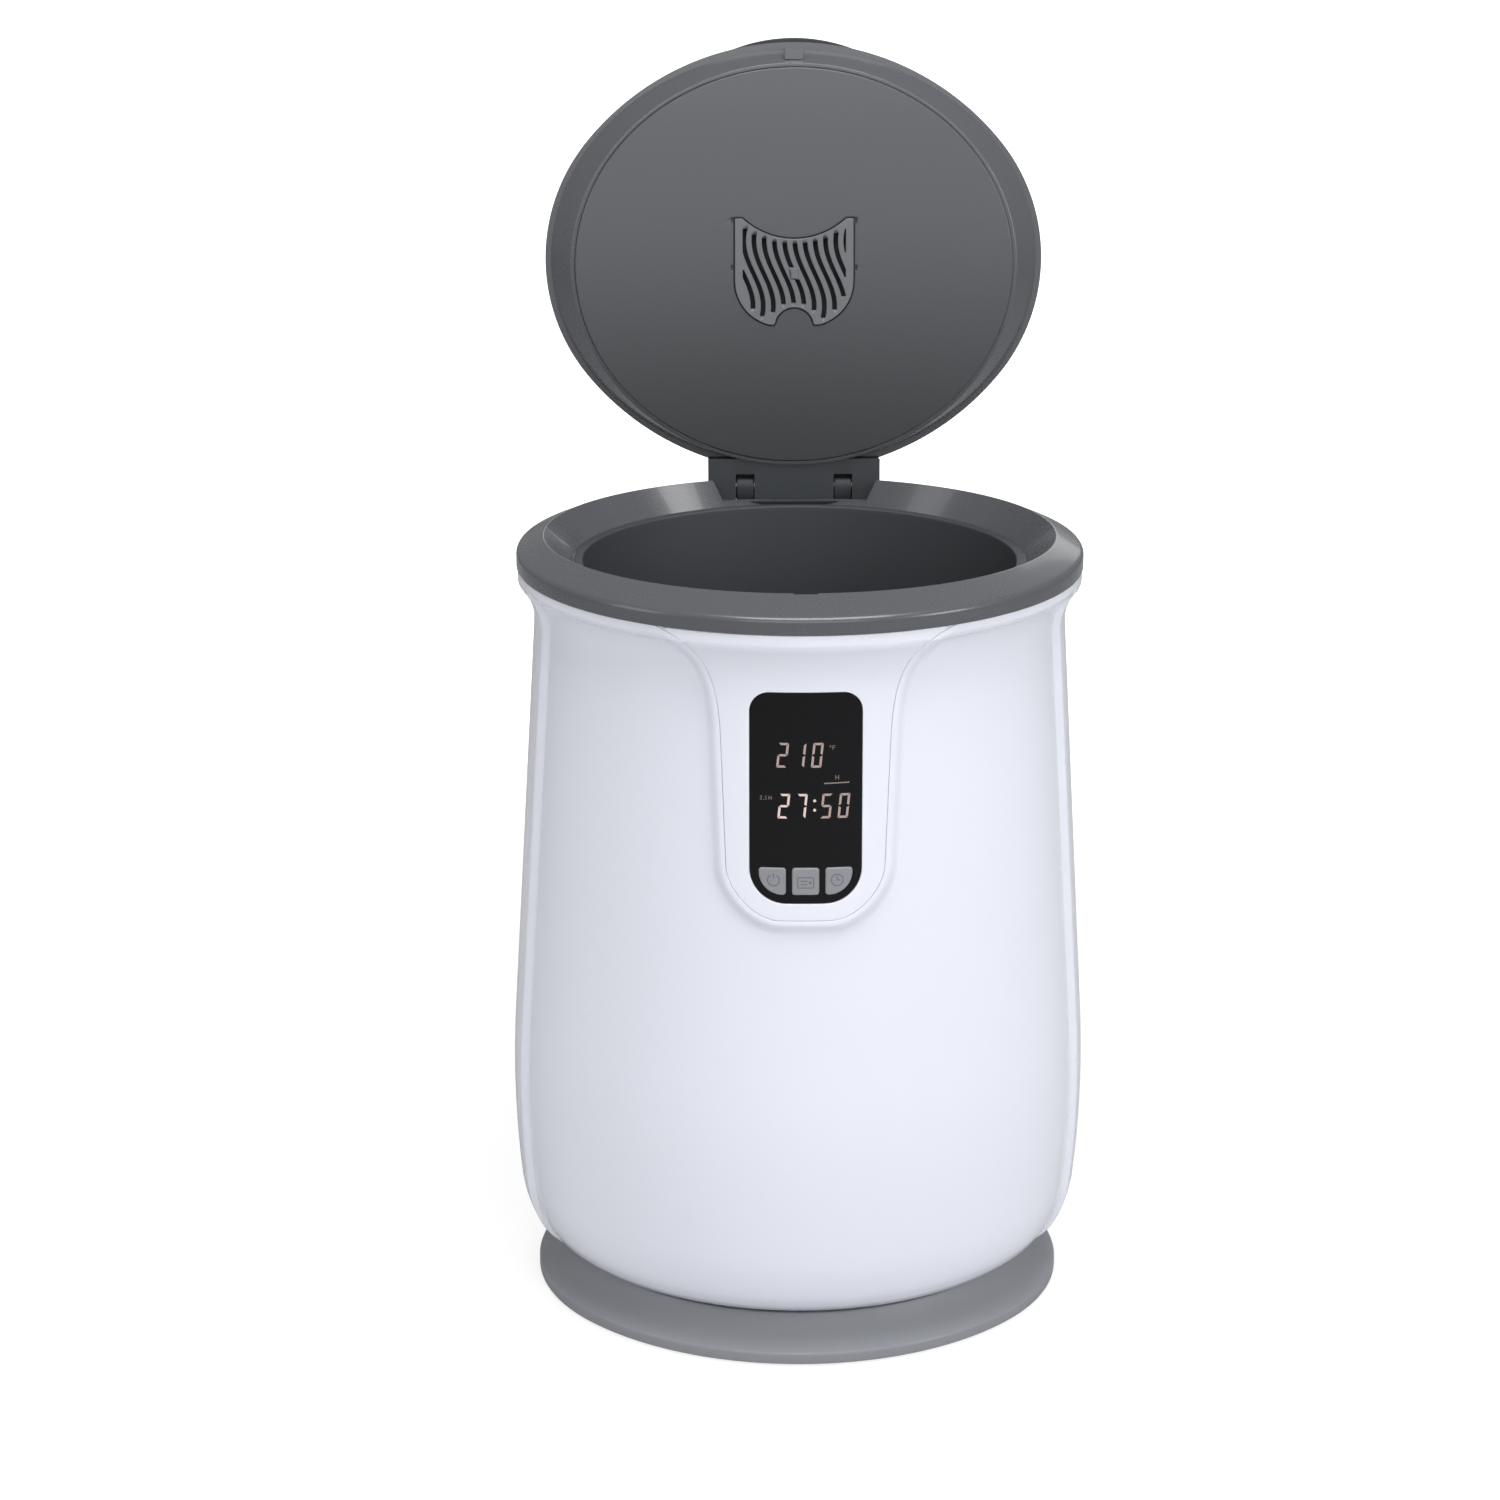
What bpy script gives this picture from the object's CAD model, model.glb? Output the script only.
"""Towel warmer bucket with its lid open: the visual model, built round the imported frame."""

import logging
import math
from dataclasses import dataclass, field
from enum import Enum
from typing import Any, Callable, Sequence

import bmesh
import bpy
import numpy as np
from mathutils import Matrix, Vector
from mathutils.geometry import delaunay_2d_cdt


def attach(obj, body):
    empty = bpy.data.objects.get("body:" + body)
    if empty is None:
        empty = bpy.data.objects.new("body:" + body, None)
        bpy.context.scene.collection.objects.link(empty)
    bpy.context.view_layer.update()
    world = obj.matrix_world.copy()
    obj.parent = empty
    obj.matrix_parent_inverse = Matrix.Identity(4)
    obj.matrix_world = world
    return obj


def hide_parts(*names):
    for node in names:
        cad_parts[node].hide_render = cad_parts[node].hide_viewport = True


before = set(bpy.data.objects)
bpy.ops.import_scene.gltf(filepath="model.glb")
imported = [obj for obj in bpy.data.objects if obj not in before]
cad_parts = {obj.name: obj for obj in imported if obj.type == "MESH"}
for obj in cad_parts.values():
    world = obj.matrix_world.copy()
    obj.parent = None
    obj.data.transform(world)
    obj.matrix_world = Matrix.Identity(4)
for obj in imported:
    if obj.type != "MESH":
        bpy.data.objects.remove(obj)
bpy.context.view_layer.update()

log = logging.getLogger("bucket")
MM = 0.001
MERGE = 1e-7
SLIVER = 1e-9
Points = np.ndarray
Placing = Callable[[Points, Any], Points]


class Body(Enum):
    """The frame's bodies."""

    HOUSING = "housing"
    LID = "lid"
    GRILLE = "grille"
    POWER_KEY = "power_key"
    MODE_KEY = "mode_key"
    TIMER_KEY = "timer_key"


# ---- Shader trees ----
class Term:
    """A socket that can stand in a sum, so that shader maths reads as plain expressions."""

    def __init__(self, tree: "Tree", socket: Any) -> None:
        """Keeps the tree that the socket belongs to."""
        self.tree, self.socket = tree, socket

    def _with(self, operation: str, first: Any, second: Any) -> "Term":
        """One Math node on two terms or numbers."""
        return self.tree.node("ShaderNodeMath", {"operation": operation}, {0: first, 1: second})[0]

    def __add__(self, other: Any) -> "Term":
        """Sum."""
        return self._with("ADD", self, other)

    def __mul__(self, other: Any) -> "Term":
        """Product."""
        return self._with("MULTIPLY", self, other)

    __radd__ = __add__
    __rmul__ = __mul__


class Outputs:
    """The outputs of one node, by name or place."""

    def __init__(self, tree: "Tree", node: Any) -> None:
        """Keeps the node."""
        self.tree, self.node = tree, node

    def __getitem__(self, key: Any) -> Term:
        """One output as a term."""
        return Term(self.tree, self.node.outputs[key])


class Tree:
    """The node tree of one material or of the world."""

    def __init__(self, owner: Any) -> None:
        """Takes a material or a world and clears its tree.

        Args:
            owner: A material or a world.
        """
        owner.use_nodes = True
        self.nodes, self.links = owner.node_tree.nodes, owner.node_tree.links
        self.nodes.clear()

    def node(self, kind: str, settings: dict[str, Any], sockets: dict[Any, Any]) -> Outputs:
        """Adds one node.

        Args:
            kind: Blender's name of the node type.
            settings: Attributes of the node, set first; "stops" gives a ramp's places and colours.
            sockets: Values or terms for the inputs, by name or place.

        Returns:
            The node's outputs.
        """
        made = self.nodes.new(kind)
        for name, value in settings.items():
            if name == "stops":
                ramp = made.color_ramp.elements
                while len(ramp) < len(value):
                    ramp.new(0.5)
                for stop, (place, colour) in zip(ramp, value):
                    stop.position, stop.color = place, colour
            else:
                setattr(made, name, value)
        for name, value in sockets.items():
            if isinstance(value, Term):
                self.links.new(value.socket, made.inputs[name])
            else:
                made.inputs[name].default_value = value
        return Outputs(self, made)

    def noise(self, place: Term, scale: float, detail: float = 2.0, roughness: float = 0.5) -> Term:
        """Noise over a place, from 0 to 1 round one half."""
        sockets = {"Vector": place, "Scale": scale, "Detail": detail, "Roughness": roughness}
        return self.node("ShaderNodeTexNoise", {}, sockets)["Fac"]

    def blend(self, share: Any, first: Any, second: Any) -> Term:
        """Mixes two colours by a share."""
        sockets = {"Factor": share, 6: first, 7: second}
        return self.node("ShaderNodeMix", {"data_type": "RGBA"}, sockets)[2]


def linear(red: float, green: float, blue: float) -> tuple[float, float, float, float]:
    """A display colour from 0 to 255 as the linear colour that a shader takes."""
    shares = [value / 255 for value in (red, green, blue)]
    return (*[s / 12.92 if s <= 0.04045 else ((s + 0.055) / 1.055) ** 2.4 for s in shares], 1.0)


def scaled(colour: Sequence[float], factor: float) -> tuple[float, float, float, float]:
    """A colour made lighter or darker."""
    return (*[min(1.0, value * factor) for value in colour[:3]], 1.0)


class Paint:
    """What the finishes share: one shader over the coordinates of the piece."""

    name: str

    def sockets(self, tree: Tree, place: Term) -> dict[str, Any]:
        """Inputs of the shader, from a place on the piece."""
        raise NotImplementedError

    def make(self) -> bpy.types.Material:
        """Builds the material.

        Returns:
            The material.
        """
        material = bpy.data.materials.new(self.name)
        tree = Tree(material)
        place = tree.node("ShaderNodeTexCoord", {}, {})["Object"]
        shader = tree.node("ShaderNodeBsdfPrincipled", {}, self.sockets(tree, place))
        tree.node("ShaderNodeOutputMaterial", {}, {"Surface": shader[0]})
        return material


@dataclass(frozen=True)
class Moulded(Paint):
    """A moulded plastic: its colour drifts a little, and its skin has a fine grain.

    Attributes:
        name: Name of the material.
        colour: Display colour from 0 to 255.
        roughness: Middle roughness.
        drift: Share by which the colour changes over the piece.
        grain: Height of the grain in millimetres.
        grain_size: Size of the grain in millimetres.
        coat: Weight of the clear gloss on top.
        specular: Level of the plain reflection.
        metal: Metallic share.
        sheen: Weight of the soft fibres' sheen.
        fade: Low height, high height and the share of the colour left at the low one.
    """

    name: str
    colour: tuple[float, float, float]
    roughness: float = 0.4
    drift: float = 0.03
    grain: float = 0.01
    grain_size: float = 0.6
    coat: float = 0.0
    specular: float = 0.5
    metal: float = 0.0
    sheen: float = 0.0
    fade: tuple[float, float, float] | None = None

    def sockets(self, tree: Tree, place: Term) -> dict[str, Any]:
        """A drifting tone, an uneven roughness and a grain.

        Args:
            tree: Takes the nodes.
            place: Coordinates on the piece.

        Returns:
            Inputs of the shader by name.
        """
        wide = tree.noise(place, 9.0, 3.0)
        speck = tree.noise(place, 1 / (self.grain_size * MM), 2.0, 0.6)
        base = linear(*self.colour)
        tone = tree.blend(wide, scaled(base, 1 - self.drift), scaled(base, 1 + self.drift))
        tone = tree.blend(speck * 0.5, tone, scaled(base, 1 + 1.5 * self.drift))
        if self.fade:
            height = tree.node("ShaderNodeSeparateXYZ", {}, {0: place})["Z"]
            rising = tree.node("ShaderNodeMapRange", {"interpolation_type": "SMOOTHSTEP"}, {
                "Value": height, "From Min": self.fade[0] * MM, "From Max": self.fade[1] * MM,
            })["Result"]
            tone = tree.blend(rising, scaled(base, self.fade[2]), tone)
        rough = self.roughness * (0.9 + 0.1 * (wide + speck))
        bump = tree.node(
            "ShaderNodeBump", {}, {"Strength": 1.0, "Distance": self.grain * MM, "Height": speck}
        )
        return {
            "Base Color": tone,
            "Roughness": rough,
            "Metallic": self.metal,
            "Specular IOR Level": self.specular,
            "Coat Weight": self.coat,
            "Coat Roughness": 0.06,
            "Sheen Weight": self.sheen,
            "Normal": bump[0],
        }


@dataclass(frozen=True)
class Lit(Paint):
    """A lit mark of the display, whose glow is a little uneven.

    Attributes:
        name: Name of the material.
        colour: Display colour from 0 to 255.
        strength: How brightly it glows.
    """

    name: str
    colour: tuple[float, float, float]
    strength: float = 1.0

    def sockets(self, tree: Tree, place: Term) -> dict[str, Any]:
        """A dark base that glows.

        Args:
            tree: Takes the nodes.
            place: Coordinates on the piece.

        Returns:
            Inputs of the shader by name.
        """
        uneven = tree.noise(place, 420.0, 1.0)
        full = linear(*self.colour)
        return {
            "Base Color": scaled(full, 0.1),
            "Roughness": 0.5,
            "Emission Color": tree.blend(uneven, scaled(full, 0.8), full),
            "Emission Strength": self.strength,
        }


@dataclass(frozen=True)
class Circuit(Paint):
    """Green circuit board with copper lands.

    Attributes:
        name: Name of the material.
    """

    name: str

    def sockets(self, tree: Tree, place: Term) -> dict[str, Any]:
        """Lands in the middles of cells, on a base of uneven green.

        Args:
            tree: Takes the nodes.
            place: Coordinates on the piece.

        Returns:
            Inputs of the shader by name.
        """
        grid = {"Vector": place, "Scale": 260.0}
        cells = tree.node("ShaderNodeTexVoronoi", {"distance": "MANHATTAN"}, grid)["Distance"]
        stops = ((0.16, (1, 1, 1, 1)), (0.2, (0, 0, 0, 1)))
        lands = tree.node("ShaderNodeValToRGB", {"stops": stops}, {"Fac": cells})[0]
        tracks = tree.noise(place, 180.0, 0.0)
        green = tree.blend(tracks, linear(18, 74, 44), linear(32, 104, 62))
        tone = tree.blend(lands, green, linear(196, 170, 110))
        bump = tree.node("ShaderNodeBump", {}, {"Distance": 0.05 * MM, "Height": lands})
        return {"Base Color": tone, "Roughness": 0.35, "Normal": bump[0]}


class Finish(Enum):
    """Every finish of the bucket."""

    WHITE = Moulded("bucket_gloss_white", (238, 241, 250), 0.22, 0.008, 0.002, 2.5, coat=0.6)
    GREY = Moulded("bucket_dark_grey", (84, 86, 90), 0.27, 0.03, 0.003, 0.7, coat=0.25)
    PANEL = Moulded(
        "bucket_panel_grey", (82, 84, 88), 0.3, 0.03, 0.003, 0.7, coat=0.1, fade=(470.0, 640.0, 0.42)
    )
    FLAP = Moulded("bucket_flap_grey", (56, 59, 62), 0.6, 0.03, 0.003, 0.7, specular=0.25)
    GRILLE = Moulded("bucket_vent_grey", (104, 107, 110), 0.38, 0.03, 0.006, 0.6)
    BASE = Moulded("bucket_base_grey", (142, 144, 149), 0.38, 0.03, 0.006, 0.7)
    TUB = Moulded("bucket_tub_coat", (62, 64, 68), 0.55, 0.05, 0.012, 0.9)
    LENS = Moulded("bucket_black_lens", (15, 15, 17), 0.1, 0.05, 0.0005, 4.0, specular=0.2)
    KEY = Moulded("bucket_key_grey", (143, 144, 148), 0.4, 0.02, 0.004, 0.5)
    INK = Moulded("bucket_icon_ink", (108, 109, 113), 0.5, 0.02, 0.002, 0.4)
    DISPLAY = Moulded("bucket_display_black", (14, 14, 15), 0.4, 0.1, 0.003, 0.4)
    SWITCH = Moulded("bucket_switch_black", (28, 28, 30), 0.5, 0.1, 0.01, 0.4)
    RUBBER = Moulded("bucket_foot_rubber", (42, 42, 44), 0.75, 0.12, 0.03, 0.5, specular=0.3)
    STEEL = Moulded("bucket_bright_steel", (176, 178, 182), 0.28, 0.06, 0.004, 0.3, metal=1.0)
    FOIL = Moulded("bucket_heater_foil", (170, 172, 175), 0.32, 0.1, 0.08, 6.0, metal=1.0)
    WOOL = Moulded("bucket_insulation", (214, 206, 186), 0.95, 0.2, 0.6, 2.5, specular=0.1, sheen=0.4)
    FELT = Moulded("bucket_charcoal_felt", (44, 45, 48), 0.95, 0.3, 0.2, 0.8, specular=0.1, sheen=0.2)
    RELAY = Moulded("bucket_relay_case", (36, 84, 150), 0.35, 0.05, 0.004, 0.8)
    TERMINAL = Moulded("bucket_terminal_green", (40, 132, 72), 0.4, 0.06, 0.01, 0.6)
    SENSOR = Moulded("bucket_sensor_body", (56, 50, 48), 0.5, 0.1, 0.02, 0.6)
    BOARD = Circuit("bucket_circuit_board")
    DIM_DIGITS = Lit("bucket_dim_digits", (176, 156, 150), 1.0)
    BRIGHT_DIGITS = Lit("bucket_bright_digits", (232, 208, 202), 1.0)
    LEGEND = Lit("bucket_legend", (138, 126, 124), 1.0)

    def material(self) -> bpy.types.Material:
        """The finish as a Blender material, made once."""
        found = bpy.data.materials.get(self.value.name)
        return found or self.value.make()


# ---- Flat outlines ----
def unit(vectors: Points) -> Points:
    """Vectors at length one."""
    return vectors / np.maximum(np.linalg.norm(vectors, axis=-1, keepdims=True), 1e-12)


def signed_area(loop: Points) -> float:
    """Area of a loop, positive when it runs anticlockwise."""
    x, y = loop[:, 0], loop[:, 1]
    return float(np.sum(x * np.roll(y, -1) - np.roll(x, -1) * y) / 2)


def outward(loop: Points) -> Points:
    """Mitred outward directions at the corners of an anticlockwise loop.

    Args:
        loop: Anticlockwise loop.

    Returns:
        One direction for each corner, longer where the corner is sharp.
    """
    along = unit(np.roll(loop, -1, 0) - loop)
    side = np.stack([along[:, 1], -along[:, 0]], 1)
    both = unit(side + np.roll(side, 1, 0))
    stretch = 1 / np.maximum(np.sum(both * side, 1), 0.5)
    return both * stretch[:, None]


def grown(loop: Points, distance: float) -> Points:
    """An anticlockwise loop moved out by a distance."""
    return loop + outward(loop) * distance


def spread(loop: Points, spacing: float, closed: bool = True) -> Points:
    """A line divided into even steps that keep its sharp corners.

    Args:
        loop: Corners of the line.
        spacing: Longest step.
        closed: Whether the last corner joins the first.

    Returns:
        The divided line.
    """
    rows = []
    count = len(loop) if closed else len(loop) - 1
    for index in range(count):
        start, end = loop[index], loop[(index + 1) % len(loop)]
        steps = max(1, math.ceil(np.linalg.norm(end - start) / spacing))
        rows.extend(start + (end - start) * step / steps for step in range(steps))
    if not closed:
        rows.append(loop[-1])
    return np.array(rows)


def rounded(corners: Sequence[tuple[float, float, float]], steps: int = 7) -> Points:
    """Loop through corners, each given as X, Y and the radius of its rounding.

    Args:
        corners: X, Y and radius of each corner.
        steps: Steps in each rounding.

    Returns:
        The loop.
    """
    rows: list[Points] = []
    count = len(corners)
    for index, (x, y, radius) in enumerate(corners):
        here = np.array([x, y])
        before = np.array(corners[index - 1][:2]) - here
        after = np.array(corners[(index + 1) % count][:2]) - here
        if radius <= 0:
            rows.append(here)
            continue
        before, after = unit(before), unit(after)
        half = math.acos(float(np.clip(np.dot(before, after), -1, 1))) / 2
        centre = here + unit(before + after) * radius / math.sin(half)
        start = here + before * radius / math.tan(half) - centre
        end = here + after * radius / math.tan(half) - centre
        turn = math.atan2(start[0] * end[1] - start[1] * end[0], float(np.dot(start, end)))
        for step in range(steps + 1):
            angle = turn * step / steps
            c, s = math.cos(angle), math.sin(angle)
            rows.append(centre + np.array([c * start[0] - s * start[1], s * start[0] + c * start[1]]))
    return np.array(rows)


def curve_through(
    points: Sequence[Sequence[float]], first: Sequence[float], last: Sequence[float], spacing: float
) -> Points:
    """Smooth curve through points that leaves along one direction and arrives along another.

    Args:
        points: Points on the curve.
        first: Direction at the start.
        last: Direction at the end.
        spacing: Distance between the curve's samples.

    Returns:
        The samples, with both ends.
    """
    knots = np.array(points, float)
    spans = np.linalg.norm(np.diff(knots, axis=0), axis=1)
    count = len(knots)
    left, right = np.eye(count), np.zeros((count, 2))
    right[0], right[-1] = unit(np.array(first, float)), unit(np.array(last, float))
    for i in range(1, count - 1):
        near, far = spans[i - 1], spans[i]
        left[i, i - 1], left[i, i], left[i, i + 1] = far, 2 * (near + far), near
        right[i] = 3 * (far * (knots[i] - knots[i - 1]) / near + near * (knots[i + 1] - knots[i]) / far)
    tangents = np.linalg.solve(left, right)
    rows = []
    for i in range(count - 1):
        steps = max(2, math.ceil(spans[i] / spacing))
        t = np.linspace(0, 1, steps, endpoint=False)[:, None]
        a, b, span = knots[i], knots[i + 1], spans[i]
        rows.append(
            (2 * t**3 - 3 * t**2 + 1) * a
            + (t**3 - 2 * t**2 + t) * span * tangents[i]
            + (3 * t**2 - 2 * t**3) * b
            + (t**3 - t**2) * span * tangents[i + 1]
        )
    return np.vstack([*rows, knots[-1:]])


def inside(points: Points, loop: Points) -> Points:
    """Which points lie in a loop.

    Args:
        points: Flat points.
        loop: Closed loop.

    Returns:
        True for each point inside.
    """
    found = np.zeros(len(points), bool)
    x, y = points[:, 0], points[:, 1]
    for (x0, y0), (x1, y1) in zip(loop, np.roll(loop, -1, 0)):
        if y0 == y1:
            continue
        crosses = (y0 > y) != (y1 > y)
        found ^= crosses & (x < (x1 - x0) * (y - y0) / (y1 - y0) + x0)
    return found


def distance_in(points: Points, loop: Points) -> Points:
    """Distance of points from a loop, positive outside it.

    Args:
        points: Flat points.
        loop: Closed loop.

    Returns:
        One distance for each point.
    """
    nearest = np.full(len(points), 1e9)
    for start, end in zip(loop, np.roll(loop, -1, 0)):
        edge = end - start
        share = np.clip((points - start) @ edge / max(edge @ edge, 1e-12), 0, 1)
        gap = np.linalg.norm(points - start - share[:, None] * edge, axis=1)
        nearest = np.minimum(nearest, gap)
    return np.where(inside(points, loop), -nearest, nearest)


def grid_in(loop: Points, spacing: float) -> Points:
    """Points of a triangular grid inside a loop.

    Args:
        loop: Anticlockwise loop.
        spacing: Step of the grid.

    Returns:
        The points.
    """
    low, high = loop.min(0), loop.max(0)
    rows = np.arange(low[1] + spacing / 2, high[1], spacing * 0.87)
    columns = np.arange(low[0], high[0], spacing)
    x, y = np.meshgrid(columns, rows)
    x = x + (np.arange(len(rows)) % 2)[:, None] * spacing / 2
    points = np.stack([x.ravel(), y.ravel()], 1)
    return points[inside(points, grown(loop, -spacing * 0.45))]


# ---- Meshes ----
def smooth(mesh: bpy.types.Mesh) -> bpy.types.Mesh:
    """Shades every face of a mesh smooth."""
    mesh.polygons.foreach_set("use_smooth", [True] * len(mesh.polygons))
    return mesh


def taken(made: bmesh.types.BMesh, name: str) -> bpy.types.Mesh:
    """Turns an edited mesh into a named one and frees it.

    Args:
        made: The edited mesh.
        name: Name of the new mesh.

    Returns:
        The mesh, smooth.
    """
    mesh = bpy.data.meshes.new(name)
    made.to_mesh(mesh)
    made.free()
    return smooth(mesh)


def linked(name: str, data: Any) -> bpy.types.Object:
    """Puts an object with its mesh, lamp or camera into the scene.

    Args:
        name: Name of the object.
        data: Its mesh, lamp or camera.

    Returns:
        The object.
    """
    thing = bpy.data.objects.new(name, data)
    bpy.context.scene.collection.objects.link(thing)
    return thing


def placed(name: str, mesh: bpy.types.Mesh, finish: Finish) -> bpy.types.Object:
    """Puts a mesh into the scene with one finish.

    Args:
        name: Name of the object.
        mesh: Its mesh.
        finish: Its finish.

    Returns:
        The object.
    """
    mesh.materials.clear()
    mesh.materials.append(finish.material())
    return linked(name, mesh)


class Skin:
    """Collects faces whose corners carry their own normals, in millimetres."""

    def __init__(self) -> None:
        """Starts empty."""
        self.places: list[Points] = []
        self.faces: list[tuple[int, ...]] = []
        self.normals: list[Points] = []
        self.count = 0

    def add(self, places: Points, faces: Sequence[Sequence[int]], normals: Points) -> None:
        """Adds points with one normal each, and faces between them.

        Args:
            places: Points in space.
            faces: Corners of each face, counted within these points.
            normals: Normal at each point.
        """
        self.faces.extend(tuple(int(i) + self.count for i in face) for face in faces)
        self.places.append(places)
        self.normals.append(normals)
        self.count += len(places)

    def piece(self, name: str, finish: Finish) -> bpy.types.Object:
        """Makes the collected faces an object with a finish.

        Args:
            name: Name of the object.
            finish: Its finish.

        Returns:
            The object.
        """
        mesh = bpy.data.meshes.new(name)
        mesh.from_pydata((np.vstack(self.places) * MM).tolist(), [], self.faces)
        smooth(mesh)
        normals = unit(np.vstack(self.normals))
        mesh.normals_split_custom_set(normals[[i for face in self.faces for i in face]].tolist())
        return placed(name, mesh, finish)


def triangles(points: Points, loops: Sequence[Points]) -> tuple[Points, list[list[int]]]:
    """Divides a flat region into anticlockwise triangles.

    Args:
        points: Points inside the region; they follow the loops' own points.
        loops: The region's outline and its holes.

    Returns:
        All points, the loops' first, and the triangles.
    """
    every = np.vstack([*loops, points])
    edges, start = [], 0
    for loop in loops:
        count = len(loop)
        edges += [(start + i, start + (i + 1) % count) for i in range(count)]
        start += count
    found = delaunay_2d_cdt([Vector(p) for p in every], edges, [], 0, MERGE)
    source = np.array([ids[0] if ids else -1 for ids in found[3]])
    faces = source[np.array(found[2])]
    faces = faces[(faces >= 0).all(1)]
    middles = every[faces].mean(1)
    kept = np.zeros(len(faces), bool)
    for loop in loops:
        kept ^= inside(middles, loop)
    faces = faces[kept]
    a, b, c = every[faces[:, 0]], every[faces[:, 1]], every[faces[:, 2]]
    turned = (b[:, 0] - a[:, 0]) * (c[:, 1] - a[:, 1]) - (b[:, 1] - a[:, 1]) * (c[:, 0] - a[:, 0])
    real = np.abs(turned) > SLIVER
    faces, turned = faces[real], turned[real]
    faces[turned < 0] = faces[turned < 0][:, ::-1]
    return every, faces.tolist()


@dataclass
class Plate:
    """A plate of even thickness over a curved surface, with rolled edges.

    Attributes:
        outline: Its outline, anticlockwise, in the surface's own flat coordinates.
        place: Carries flat points and depths below the surface to space.
        thickness: How thick the plate is.
        rounding: Radius of its rolled edges.
        holes: Openings, each an anticlockwise loop.
        spacing: Step of the points that follow its curve.
        extra: Further points inside it.
        steps: Steps of the rolled edges; 0 keeps them sharp.
    """

    outline: Points
    place: Placing
    thickness: float
    rounding: float
    holes: Sequence[Points] = ()
    spacing: float = 8.0
    extra: Points | None = None
    steps: int = 4

    def slope(self, points: Points, depths: Points, way: Points) -> Points:
        """How the surface runs when flat points move a little along ways."""
        return self.place(points + way, depths) - self.place(points - way, depths)

    def normal(self, points: Points, depths: Points) -> Points:
        """Outward normals of the surface at flat points.

        Args:
            points: Flat points.
            depths: Depth of each point below the surface.

        Returns:
            One normal for each point.
        """
        reach = 0.15
        right = self.slope(points, depths, np.array([reach, 0.0]))
        up = self.slope(points, depths, np.array([0.0, reach]))
        return unit(np.cross(right, up))

    def into(self, skin: Skin) -> None:
        """Adds the plate's front, walls and back to a skin.

        Args:
            skin: Takes the faces.
        """
        loops = [self.outline, *self.holes]
        sides = [1.0] + [-1.0] * len(self.holes)
        rings, ring_depths, ring_turns, ring_ways = [], [], [], []
        for step in range(self.steps + 1):
            turn = math.pi / 2 * (1 - step / self.steps) if self.steps else 0.0
            move, depth = self.rounding * (1 - math.sin(turn)), self.rounding * (1 - math.cos(turn))
            for loop, side in zip(loops, sides):
                way = outward(loop)
                rings.append(loop - way * move * side)
                ring_depths.append(np.full(len(loop), depth))
                ring_turns.append(np.full(len(loop), turn))
                ring_ways.append(way * side)
        fill = grid_in(self.outline, self.spacing)
        if self.extra is not None:
            kept = inside(self.extra, grown(self.outline, -1.3 * self.rounding - 0.2))
            fill = np.vstack([fill, self.extra[kept]])
        for hole in self.holes:
            fill = fill[~inside(fill, grown(hole, 1.3 * self.rounding + 0.3))]
        count = len(loops)
        fixed, rest = rings[:count], np.vstack([*rings[count:], fill])
        points, faces = triangles(rest, fixed)
        empty = np.zeros(len(fill))
        depths = np.concatenate([*ring_depths, empty])
        turns = np.concatenate([*ring_turns, empty])
        ways = np.vstack([*ring_ways, np.zeros((len(fill), 2))])
        upright = self.normal(points, depths)
        edgeways = self.slope(points, depths, ways * 0.05)
        edgeways = unit(edgeways - upright * np.sum(edgeways * upright, 1)[:, None])
        normals = upright * np.cos(turns)[:, None] + edgeways * np.sin(turns)[:, None]
        front = self.place(points, depths)
        skin.add(front, faces, normals)
        back = self.place(points, np.full(len(points), self.thickness))
        skin.add(back, [face[::-1] for face in faces], -upright)
        start = 0
        for loop, side in zip(loops, sides):
            size = len(loop)
            ids = np.arange(start, start + size)
            ring = np.arange(size)
            ahead = np.roll(ring, -1)
            quads = np.stack([ring, ring + size, ahead + size, ahead], 1)
            quads = quads if side > 0 else quads[:, ::-1]
            wall = np.vstack([front[ids], back[ids]])
            skin.add(wall, quads.tolist(), np.vstack([edgeways[ids]] * 2))
            start += size


def polar(level: Sequence[Any], angles: Points) -> Points:
    """Points of one level of a ring at angles round its own middle.

    Args:
        level: Height, half-width, half-depth and middle in Y of an ellipse, or height, half-width
            and oval family.
        angles: Angles from the right, one for each point.

    Returns:
        Points in space.
    """
    height, half = level[0], level[1]
    c, s = np.cos(angles), np.sin(angles)
    if isinstance(level[2], Oval):
        reach, middle = level[2].radius(half, angles), level[2].middle
    else:
        depth, middle = level[2], level[3]
        reach = half * depth / np.sqrt((depth * c) ** 2 + (half * s) ** 2)
    return np.stack([reach * c, middle + reach * s, np.full(len(angles), height)], 1)


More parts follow.
